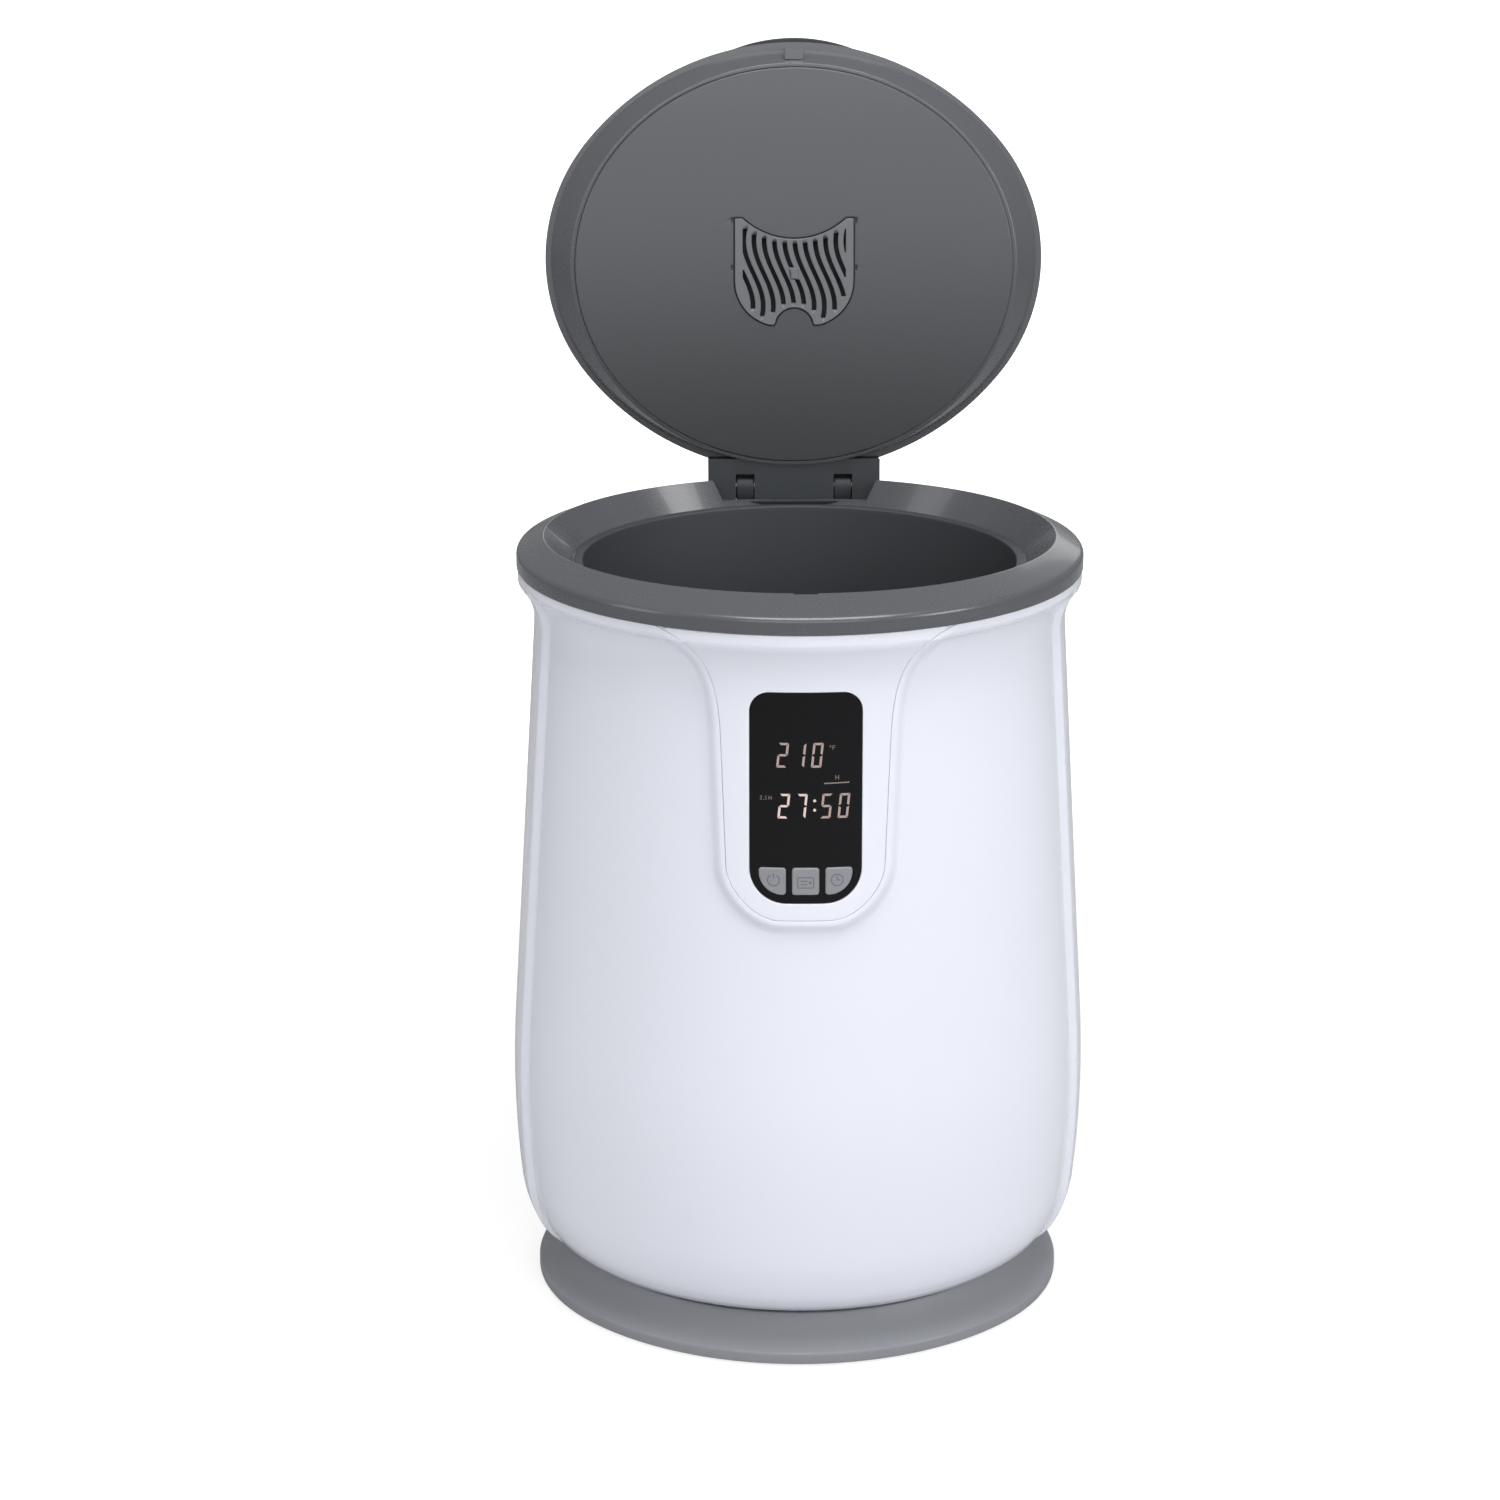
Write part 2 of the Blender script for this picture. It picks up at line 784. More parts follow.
@dataclass(frozen=True)
class Oval:
    """A family of ovals, each drawn with four arcs and an even offset of the next.

    Attributes:
        reach: How far the end arcs' centres stand out to the sides.
        narrower: How much less the half-depth is than the half-width.
        middle: Middle of the ovals in Y.
    """

    reach: float
    narrower: float
    middle: float = 0.0

    @property
    def rise(self) -> float:
        """Distance of the long arcs' centres from the middle."""
        return self.narrower * (2 * self.reach - self.narrower) / (2 * (self.reach - self.narrower))

    @property
    def turn(self) -> float:
        """Normal angle at which an end arc meets a long one."""
        return math.atan2(self.rise, self.reach)

    def arc(self, angles: Points) -> tuple[Points, Points]:
        """Centre and shift of the arc that holds each normal angle.

        Args:
            angles: Normal angles.

        Returns:
            Centres of the arcs, and half-width less radius for each.
        """
        angle = (np.asarray(angles) + math.pi) % (2 * math.pi) - math.pi
        ends = np.minimum(np.abs(angle), math.pi - np.abs(angle)) <= self.turn
        x = np.where(ends, np.where(np.abs(angle) < math.pi / 2, self.reach, -self.reach), 0.0)
        y = np.where(ends, 0.0, np.where(angle > 0, -self.rise, self.rise)) + self.middle
        return np.stack([x, y], -1), np.where(ends, self.reach, self.narrower - self.rise)

    def point(self, angles: Points, half: Points) -> Points:
        """Flat points at normal angles on the ovals of given half-widths.

        Args:
            angles: Normal angles.
            half: Half-width of the oval at each angle.

        Returns:
            The points.
        """
        centre, shift = self.arc(angles)
        way = np.stack([np.cos(angles), np.sin(angles)], -1)
        return centre + (half - shift)[..., None] * way

    def locate(self, places: Points) -> tuple[Points, Points]:
        """Normal angle and half-width of the ovals through flat points.

        Args:
            places: Flat points.

        Returns:
            Normal angles and half-widths.
        """
        x, y = places[:, 0], places[:, 1] - self.middle
        side = np.stack([np.abs(x) - self.reach, np.abs(y)], 1)
        ends = np.arctan2(side[:, 1], side[:, 0]) <= self.turn
        long_way = np.arctan2(np.abs(y) + self.rise, np.abs(x))
        angle = np.where(ends, np.arctan2(side[:, 1], side[:, 0]), long_way)
        long_half = np.hypot(x, np.abs(y) + self.rise) + self.narrower - self.rise
        half = np.where(ends, np.hypot(*side.T) + self.reach, long_half)
        angle = np.where(x < 0, math.pi - angle, angle)
        return np.where(y < 0, -angle, angle), half

    def radius(self, half: float, angles: Points) -> Points:
        """Distance from the middle to the oval along each angle.

        Args:
            half: Half-width of the oval.
            angles: Angles from the right.

        Returns:
            One distance for each angle.
        """
        c, s = np.abs(np.cos(angles)), np.abs(np.sin(angles))
        round_end = half - self.reach
        joint_x = self.reach + round_end * math.cos(self.turn)
        joint_y = round_end * math.sin(self.turn)
        ends = s * joint_x <= c * joint_y
        cx, cy = np.where(ends, self.reach, 0.0), np.where(ends, 0.0, -self.rise)
        size = np.where(ends, round_end, half - self.narrower + self.rise)
        along = c * cx + s * cy
        return along + np.sqrt(along**2 - cx**2 - cy**2 + size**2)


def softened(levels: Sequence[Sequence[Any]], radii: Sequence[float], steps: int = 4) -> list[list[Any]]:
    """Rounds the corners of a ring's section.

    Args:
        levels: Corners of the section, as polar() takes them.
        radii: Distance over which each corner is rounded; 0 keeps it.
        steps: Steps in each rounding.

    Returns:
        More levels, in the same order.
    """
    made: list[list[Any]] = []
    count = len(levels)

    def numbers(level: Sequence[Any]) -> Points:
        """The level's numbers alone."""
        return np.array([v for v in level if not isinstance(v, Oval)], float)

    for index, (level, radius) in enumerate(zip(levels, radii)):
        family = [v for v in level if isinstance(v, Oval)]
        here = numbers(level)
        before, after = numbers(levels[index - 1]), numbers(levels[(index + 1) % count])
        if radius <= 0 or len(before) != len(here) or len(after) != len(here):
            made.append([*here, *family])
            continue
        start, end = [
            here + (other - here) * min(0.45, radius / max(np.linalg.norm((other - here)[:2]), 1e-9))
            for other in (before, after)
        ]
        for step in range(steps + 1):
            t = step / steps
            made.append([*((1 - t) ** 2 * start + 2 * t * (1 - t) * here + t * t * end), *family])
    return made


def ring_mesh(
    name: str, levels: Sequence[Sequence[Any]], sides: int = 240, closed: bool = True
) -> bpy.types.Mesh:
    """Mesh of a ring whose section runs through levels; an open one is closed by poles.

    Args:
        name: Name of the mesh.
        levels: Levels as polar() takes them.
        sides: Points round the ring.
        closed: Whether the last level joins the first.

    Returns:
        The mesh, smooth, with its faces outwards.
    """
    angles = np.arange(sides) * 2 * math.pi / sides
    made = bmesh.new()
    rows = [[made.verts.new(p) for p in polar(level, angles) * MM] for level in levels]
    pairs = list(zip(rows, rows[1:])) + ([(rows[-1], rows[0])] if closed else [])
    for low, high in pairs:
        for i in range(sides):
            j = (i + 1) % sides
            made.faces.new((low[i], low[j], high[j], high[i]))
    if not closed:
        for row in (rows[0], rows[-1]):
            middle = made.verts.new(sum((v.co for v in row), Vector()) / sides)
            for i in range(sides):
                made.faces.new((row[i], row[(i + 1) % sides], middle))
    bmesh.ops.recalc_face_normals(made, faces=made.faces)
    return taken(made, name)


def copied(node: str, name: str, finish: Finish) -> bpy.types.Object:
    """A merged copy of a CAD node, smooth but for its creases.

    Args:
        node: The CAD node.
        name: Name of the copy.
        finish: Its finish.

    Returns:
        The copy.
    """
    crease = 28.0
    made = bmesh.new()
    made.from_mesh(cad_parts[node].data)
    bmesh.ops.remove_doubles(made, verts=made.verts, dist=0.002 * MM)
    bmesh.ops.dissolve_degenerate(made, edges=made.edges, dist=0.001 * MM)
    mesh = taken(made, name)
    for layer in ("custom_normal", "sharp_face"):
        if layer in mesh.attributes:
            mesh.attributes.remove(mesh.attributes[layer])
    smooth(mesh)
    mesh.set_sharp_from_angle(angle=math.radians(crease))
    return placed(name, mesh, finish)


def settle(piece: bpy.types.Object, body: Body, *nodes: str, slot: str | None = None) -> bpy.types.Object:
    """Rides a piece on its body and says which CAD nodes it stands for.

    Args:
        piece: The piece.
        body: The body that carries it.
        *nodes: CAD nodes that it stands for.
        slot: Material slot of those nodes.

    Returns:
        The piece.
    """
    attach(piece, body.value)
    if nodes:
        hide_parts(*nodes)
    log.info("%s: %d faces on %s", piece.name, len(piece.data.polygons), body.value)
    return piece


# ---- The body's curved front, which several pieces follow ----
# The ovals, then the body's profile as half-widths and heights, and the control plane's middle.
BODY_OVAL = Oval(26.0, 14.3)
BARREL_OVAL = Oval(22.0, 11.0, 4.3)
LID_OVAL = Oval(40.0, 21.0)
FOOT, KNEE, HAUNCH = (139.0, 25.5), (160.0, 41.0), (168.6, 68.0)
WAIST, NECK, LIP, TOP_Z = (170.4, 171.0), (155.2, 415.0), (164.4, 440.0), 447.3
FACE_Z = 351.0


def tangent_arc(start: Points, way: Points, end: Points, steps: int = 60) -> Points:
    """Arc that leaves a point along a direction and ends at another point.

    Args:
        start: First point.
        way: Direction at the first point.
        end: Last point.
        steps: Number of samples.

    Returns:
        Samples of the arc with both ends.
    """
    way, chord = unit(way), end - start
    side = np.array([-way[1], way[0]])
    radius = float(chord @ chord) / (2 * float(chord @ side))
    centre = start + side * radius
    first, last = start - centre, end - centre
    turn = math.atan2(first[0] * last[1] - first[1] * last[0], float(first @ last))
    angles = np.linspace(0, turn, steps)
    c, s = np.cos(angles), np.sin(angles)
    return centre + np.stack([c * first[0] - s * first[1], s * first[0] + c * first[1]], 1)


def body_profile() -> Points:
    """Half-widths and heights of the body's side, from the foot to the top.

    Returns:
        Rows of half-width and height.
    """
    foot, knee, haunch, waist, neck, lip = map(np.array, (FOOT, KNEE, HAUNCH, WAIST, NECK, LIP))
    low = tangent_arc(waist, waist - neck, haunch)
    bend = tangent_arc(haunch, low[-1] - low[-2], knee)
    heel = tangent_arc(knee, bend[-1] - bend[-2], foot)
    flare = tangent_arc(neck, neck - waist, lip)
    top = np.array([[lip[0], TOP_Z], [lip[0], TOP_Z + 40]])
    return np.vstack([heel[::-1], bend[::-1][1:], low[::-1][1:], flare, top])


# The control plane touches the profile's chord, and its axes run right, up and out of the front.
PROFILE = body_profile()
FACE_SLOPE = (WAIST[0] - NECK[0]) / (NECK[1] - WAIST[1])
FACE_TILT = math.atan(FACE_SLOPE)
FACE_FRONT = np.array([0.0, -math.cos(FACE_TILT), math.sin(FACE_TILT)])
FACE_UP = np.array([0.0, math.sin(FACE_TILT), math.cos(FACE_TILT)])
FACE_ORIGIN = np.array([0.0, -(WAIST[0] - FACE_SLOPE * (FACE_Z - WAIST[1]) - BODY_OVAL.narrower), FACE_Z])
# Girth of the body by normal angle, from the front's middle round to it again.
TURNS = np.radians(np.arange(-90.0, 270.5, 0.5))
GIRTH_HALF = 160.0
GIRTH = np.concatenate(
    [[0.0], np.cumsum(np.diff(TURNS) * (GIRTH_HALF - BODY_OVAL.arc((TURNS[1:] + TURNS[:-1]) / 2)[1]))]
)


def half_at(heights: Points) -> Points:
    """Half-width of the body at heights."""
    return np.interp(heights, PROFILE[:, 1], PROFILE[:, 0])


def on_body(points: Points, depths: Any, sunk: Any = 0.0) -> Points:
    """Carries flat points, girth and height, to the body's surface.

    Args:
        points: Girth from the front's middle, and height.
        depths: Depth below the surface, square to it.
        sunk: Further depth, level with the floor.

    Returns:
        Points in space.
    """
    girth, height = points[:, 0], points[:, 1]
    total = GIRTH[-1]
    angle = np.interp(np.where(girth < 0, girth + total, girth), GIRTH, TURNS)
    angle = np.where(girth < 0, angle - 2 * math.pi, angle)
    half = half_at(height)
    slope = half_at(height + 0.5) - half_at(height - 0.5)
    lean = 1 / np.sqrt(1 + slope**2)
    flat = BODY_OVAL.point(angle, half - sunk - np.asarray(depths) * lean)
    return np.column_stack([flat, height + np.asarray(depths) * slope * lean])


def below(depth: float) -> Placing:
    """Carries flat points to a level below the body's surface; a negative depth stands out."""
    return lambda points, depths: on_body(points, depths + depth)


def flat_of(places: Points) -> Points:
    """Girth and height of points on the body's surface.

    Args:
        places: Points in space.

    Returns:
        Rows of girth and height.
    """
    angle, _ = BODY_OVAL.locate(places[:, :2])
    angle = np.where(angle < -math.pi / 2, angle + 2 * math.pi, angle)
    girth = np.interp(angle, TURNS, GIRTH)
    girth = np.where(girth > GIRTH[-1] / 2, girth - GIRTH[-1], girth)
    return np.column_stack([girth, places[:, 2]])


def cast(places: Points, way: Points) -> Points:
    """Flat points where lines through places along a direction meet the body.

    Args:
        places: Points in space.
        way: Direction out of the body.

    Returns:
        Rows of girth and height.
    """
    near, far = np.full(len(places), -60.0), np.full(len(places), 32.0)
    for _ in range(40):
        middle = (near + far) / 2
        moved = places + middle[:, None] * way
        out = BODY_OVAL.locate(moved[:, :2])[1] > half_at(moved[:, 2])
        far, near = np.where(out, middle, far), np.where(out, near, middle)
    return flat_of(places + near[:, None] * way)


def from_face(points: Points) -> Points:
    """Flat points on the body for points of the control plane."""
    places = FACE_ORIGIN + points[:, :1] * np.array([1.0, 0, 0]) + points[:, 1:2] * FACE_UP
    return cast(places, FACE_FRONT)


def to_face(places: Points) -> Points:
    """Control plane points below points in space."""
    moved = places - FACE_ORIGIN
    return np.column_stack([moved[:, 0], moved @ FACE_UP])


@dataclass
class Controls:
    """The white insert with the window, the three keys and the display.

    Attributes:
        window_half: Half-width of the window.
        window_top: Top of the window above the control plane's middle.
        window_bottom: Its bottom.
        seam: Distance from the apron's edge to the seam round the insert.
        seam_gap: Width of the seam.
        lens_gap: Gap round the window's lens.
        lens_depth: How far the lens lies below the insert.
        key_gap: Gap round each key.
        key_proud: How far the keys stand out.
        key_low: Lower edge of the keys' openings above the control plane's middle.
        key_high: Their upper edge.
        key_corner: Radius of the openings' corners.
        key_outer_corner: Radius of the outer keys' lower outer corner.
        middle_half: Half-width of the middle opening.
        side_near: Inner side of the outer openings.
        side_far: Their outer side.
        stroke: Width of the icons' strokes.
    """

    window_half: float = 31.6
    window_top: float = 61.0
    window_bottom: float = -61.0
    seam: float = 2.8
    seam_gap: float = 0.2
    lens_gap: float = 0.25
    lens_depth: float = 0.25
    key_gap: float = 0.25
    key_proud: float = 0.5
    key_low: float = -56.0
    key_high: float = -39.6
    key_corner: float = 2.0
    key_outer_corner: float = 13.6
    middle_half: float = 7.9
    side_near: float = 10.8
    side_far: float = 26.6
    stroke: float = 0.6

    def apron(self, inset: float) -> Points:
        """Outline of the raised apron, cut off level above the body, moved in by inset.

        Args:
            inset: Distance by which the outline moves in.

        Returns:
            The outline on the control plane.
        """
        foot = np.array([[0.0, -74.0 + inset], [14.0, -74.0 + inset]])
        low, high, flare = (47.6 - inset, -40.0), (50.4 - inset, 34.0), (62.5 - inset, 80.0)
        tip, above = (98.0 - inset, 96.5 + inset), 120.0
        leaning, spacing = (0.04, 1), 1.5
        corner = curve_through([foot[1], low], (1, 0), leaning, spacing)
        rise = curve_through([high, flare, tip], leaning, (1, 0.05), spacing)
        half = np.vstack([foot[:1], corner, rise, [(tip[0], above), (0.0, above)]])
        return np.vstack([half, half[::-1][1:-1] * [-1, 1]])

    def window(self, grow: float) -> Points:
        """The window's outline, moved out by grow.

        Args:
            grow: Distance by which the outline moves out.

        Returns:
            The outline on the control plane.
        """
        x, low, high = self.window_half + grow, self.window_bottom - grow, self.window_top + grow
        top, bottom = 11.0 + grow, 20.5 + grow
        return rounded([(-x, low, bottom), (x, low, bottom), (x, high, top), (-x, high, top)], 12)

    def key(self, place: int, grow: float) -> Points:
        """Outline of the left, middle or right key, moved out by grow.

        Args:
            place: -1 for the left key, 0 for the middle one, 1 for the right one.
            grow: Distance by which the outline moves out.

        Returns:
            The outline on the control plane.
        """
        low, high = self.key_low - grow, self.key_high + grow
        corner, outer = self.key_corner + grow, self.key_outer_corner + grow
        if place == 0:
            x = self.middle_half + grow
            return rounded([(-x, low, corner), (x, low, corner), (x, high, corner), (-x, high, corner)])
        near, far = self.side_near - grow, self.side_far + grow
        corners = [(near, low, corner), (far, low, outer), (far, high, corner), (near, high, corner)]
        right = rounded(corners, 12)
        return right if place > 0 else (right * [-1, 1])[::-1]

    def clipped(self, outline: Points) -> Points:
        """An outline of the control plane on the body, cut off at the body's top.

        Args:
            outline: Outline on the control plane.

        Returns:
            The outline in girth and height.
        """
        flat = from_face(spread(outline, 2.0))
        kept = flat[:, 1] < TOP_Z
        start = int(np.argmax(kept & ~np.roll(kept, 1)))
        run = np.roll(flat, -start, 0)[: int(kept.sum())]
        ends = [np.array([run[-1][0], TOP_Z]), np.array([run[0][0], TOP_Z])]
        return np.vstack([run, spread(np.array(ends), 3.0, closed=False)])

    def build(self) -> None:
        """Builds the insert, the lens, the keys, the marks and the digits."""
        skin = Skin()
        insert = self.clipped(self.apron(self.seam + self.seam_gap))
        opening = from_face(spread(self.window(0), 2.0))
        Plate(insert, on_body, 3.0, 0.5, [opening], 7.0).into(skin)
        made = skin.piece("control_insert", Finish.WHITE)
        settle(made, Body.HOUSING, "control_fascia", slot="white_shell")
        skin = Skin()
        keys = [from_face(spread(self.key(place, 0), 1.5)) for place in (-1, 0, 1)]
        window = from_face(spread(self.window(-self.lens_gap), 2.0))
        Plate(window, below(self.lens_depth), 2.0, 0.35, keys, 5.0).into(skin)
        settle(skin.piece("window_lens", Finish.LENS), Body.HOUSING, "display_lens", slot="black_lens")
        self.build_keys()
        self.build_digits()

    def build_keys(self) -> None:
        """Builds the three keys with their flanges and icons."""
        rows = (
            (-1, "power", Body.POWER_KEY, self.power_mark()),
            (0, "mode", Body.MODE_KEY, self.list_mark()),
            (1, "timer", Body.TIMER_KEY, self.clock_mark()),
        )
        ledge, spacing = 0.7, 1.5
        for place, name, body, marks in rows:
            skin = Skin()
            cap = from_face(spread(self.key(place, -self.key_gap), spacing))
            Plate(cap, below(-self.key_proud), 3.4, 0.9, (), 2.5, steps=6).into(skin)
            flange = from_face(spread(self.key(place, ledge), spacing))
            Plate(flange, below(2.6), 2.6, 0.2, (), 4.0, steps=1).into(skin)
            made = skin.piece(f"{name}_key_cap", Finish.KEY)
            settle(made, body, f"{name}_button", slot="key_grey")
            self.marks(marks, f"{name}_key_icon", Finish.INK, body, self.key_proud)

    @staticmethod
    def marks(loops: Sequence[Points], name: str, finish: Finish, body: Body, proud: float) -> None:
        """Lays flat marks on the front, just above what carries them.

        Args:
            loops: Outlines on the control plane.
            name: Name of the piece.
            finish: Its finish.
            body: The body that carries it.
            proud: How far the surface that carries them stands out of the body.
        """
        skin = Skin()
        print_height, ink = 0.03, 0.05
        for loop in loops:
            flat = from_face(spread(loop, 1.0))
            Plate(flat, below(-proud - print_height), ink, 0.0, (), 3.0, steps=0).into(skin)
        settle(skin.piece(name, finish), body)

    @staticmethod
    def bar(start: Sequence[float], end: Sequence[float], width: float) -> Points:
        """A straight stroke with square ends.

        Args:
            start: Middle of the first end.
            end: Middle of the other end.
            width: Width of the stroke.

        Returns:
            The outline.
        """
        a, b = np.array(start, float), np.array(end, float)
        way = unit(b - a)
        side = np.array([-way[1], way[0]]) * width / 2
        return np.array([a - side, b - side, b + side, a + side])

    @staticmethod
    def band(middle: Sequence[float], radius: float, width: float, first: float, last: float) -> Points:
        """A stroke along an arc, its angles in degrees.

        Args:
            middle: Centre of the arc.
            radius: Radius of the stroke's middle line.
            width: Width of the stroke.
            first: Angle where it starts.
            last: Angle where it ends.

        Returns:
            The outline.
        """
        angles = np.radians(np.linspace(first, last, 40))
        way = np.stack([np.cos(angles), np.sin(angles)], 1)
        outer, inner = way * (radius + width / 2), way * (radius - width / 2)
        return np.vstack([outer, inner[::-1]]) + np.array(middle)

    def dot(self, middle: Sequence[float], radius: float, width: float) -> Points:
        """A whole ring; one as wide as twice its radius is a full dot."""
        return self.band(middle, radius, width, 0, 359)

    def power_mark(self) -> list[Points]:
        """Broken ring with a stroke through its gap.

        Returns:
            Outlines on the control plane.
        """
        x, y, radius, width = -18.0, -47.0, 3.3, 0.65
        ring = self.band((x, y), radius, width, 122, 418)
        return [ring, self.bar((x, y + 0.9), (x, y + 4.1), width)]

    def list_mark(self) -> list[Points]:
        """Frame with two lines and a small square.

        Returns:
            Outlines on the control plane.
        """
        left, right, low, high = -4.4, 4.4, -51.4, -45.4
        edge = self.stroke / 2
        ends = (
            ((left, low), (right, low)), ((right, low + edge), (right, high - edge)),
            ((right, high), (left, high)), ((left, high - edge), (left, low + edge)),
            ((-2.9, -47.4), (1.0, -47.4)), ((-2.9, -49.4), (1.0, -49.4)),
        )
        square = self.bar((1.9, -48.4), (3.1, -48.4), 1.6)
        return [*[self.bar(*pair, self.stroke) for pair in ends], square]

    def clock_mark(self) -> list[Points]:
        """Ring with two hands.

        Returns:
            Outlines on the control plane.
        """
        x, y, radius, width = 17.6, -47.0, 3.3, 0.65
        edge = self.stroke / 2
        hands = (((x, y - edge), (x, y + 2.2)), ((x + edge, y), (x + 1.7, y)))
        ring = self.band((x, y), radius, width, 60, 419)
        return [ring, *[self.bar(*pair, self.stroke) for pair in hands]]

    @staticmethod
    def segments(text: str, middle: Sequence[float], pitch: float, height: float) -> list[Points]:
        """Slanted seven-segment figures.

        Args:
            text: Figures; a space leaves its place free.
            middle: Middle of the first figure.
            pitch: Step to the next figure.
            height: Height of a figure.

        Returns:
            One loop for each lit segment.
        """
        lit = {"0": "abcdef", "1": "bc", "2": "abged", "5": "afgcd", "7": "abc"}
        half, wide, stroke, slant = height / 2, height * 0.205, height * 0.09, 0.1
        gap = stroke * 0.22
        loops = []
        for index, figure in enumerate(text):
            for name in lit.get(figure, ""):
                across = name in "agd"
                level = {"a": half - stroke / 2, "g": 0.0, "d": stroke / 2 - half}.get(name, 0.0)
                if across:
                    reach, tip = wide - gap, stroke * 0.9
                    narrow = reach - tip
                    if name == "g":
                        up = stroke / 2
                        shape = [(-reach, 0), (-narrow, -up), (narrow, -up)]
                        shape += [(-x, -y) for x, y in shape]
                    else:
                        up = stroke / 2 if name == "a" else -stroke / 2
                        shape = [(-reach, up), (reach, up), (narrow, -up), (-narrow, -up)]
                        shape = shape[::-1] if up > 0 else shape
                    shape = [(x, y + level) for x, y in shape]
                else:
                    side = 1 if name in "bc" else -1
                    top = half - gap if name in "bf" else -gap
                    low = gap if name in "bf" else gap - half
                    tops = stroke * 0.9 if name in "bf" else stroke / 2
                    lows = stroke / 2 if name in "bf" else stroke * 0.9
                    outer, inner = wide, wide - stroke
                    shape = [(inner, low + lows), (outer, low), (outer, top), (inner, top - tops)]
                    shape = [(side * x, y) for x, y in (shape if side > 0 else shape[::-1])]
                start = middle[0] + index * pitch
                loops.append(np.array([(start + x + slant * y, middle[1] + y) for x, y in shape]))
        return loops

    def letter(
        self, strokes: Sequence[Sequence[float]], place: Sequence[float], width: float
    ) -> list[Points]:
        """Thin strokes, each from X, Y to X, Y, moved to a place."""
        x, y = place
        return [self.bar((x + a, y + b), (x + c, y + d), width) for a, b, c, d in strokes]

    def build_digits(self) -> None:
        """Builds what the display shows."""
        tall, upper, lower, step = 14.2, 25.2, -4.1, 9.75
        small, small_y, thin = 2.3, 0.6, 0.28
        proud = -self.lens_depth
        dim = self.segments("210", (-13.0, upper), 9.65, tall)
        dim += self.segments("50", (11.5, lower), step, tall)
        self.marks(dim, "lit_figures", Finish.DIM_DIGITS, Body.HOUSING, proud)
        bright = self.segments("27", (-12.3, lower), step, tall)
        bright += [self.dot((4.9, y), 0.42, 0.84) for y in (-1.0, -6.4)]
        self.marks(bright, "bright_figures", Finish.BRIGHT_DIGITS, Body.HOUSING, proud)
        large_h = ((0, 0, 0, 2.6), (1.7, 0, 1.7, 2.6), (0.15, 1.3, 1.55, 1.3))
        small_h = ((0, 0, 0, 2.2), (1.4, 0, 1.4, 2.2), (0.15, 1.1, 1.25, 1.1))
        letter_f = ((0, 0, 0, 2.4), (0.15, 2.3, 1.4, 2.3), (0.15, 1.25, 1.2, 1.25))
        legend = [
            *self.letter(large_h, (16.6, 11.0), 0.3),
            *self.letter(letter_f, (14.9, 28.2), thin),
            self.dot((13.6, 30.2), 0.4, 0.22),
            self.bar((10.2, 8.9), (24.3, 9.3), 0.7),
            *self.segments("0", (-25.0, small_y), 0.0, small),
            *self.segments("5", (-22.3, small_y), 0.0, small),
            self.dot((-23.6, -0.4), 0.12, 0.24),
            *self.letter(small_h, (-20.6, -0.5), thin),
        ]
        self.marks(legend, "display_legend", Finish.LEGEND, Body.HOUSING, proud)


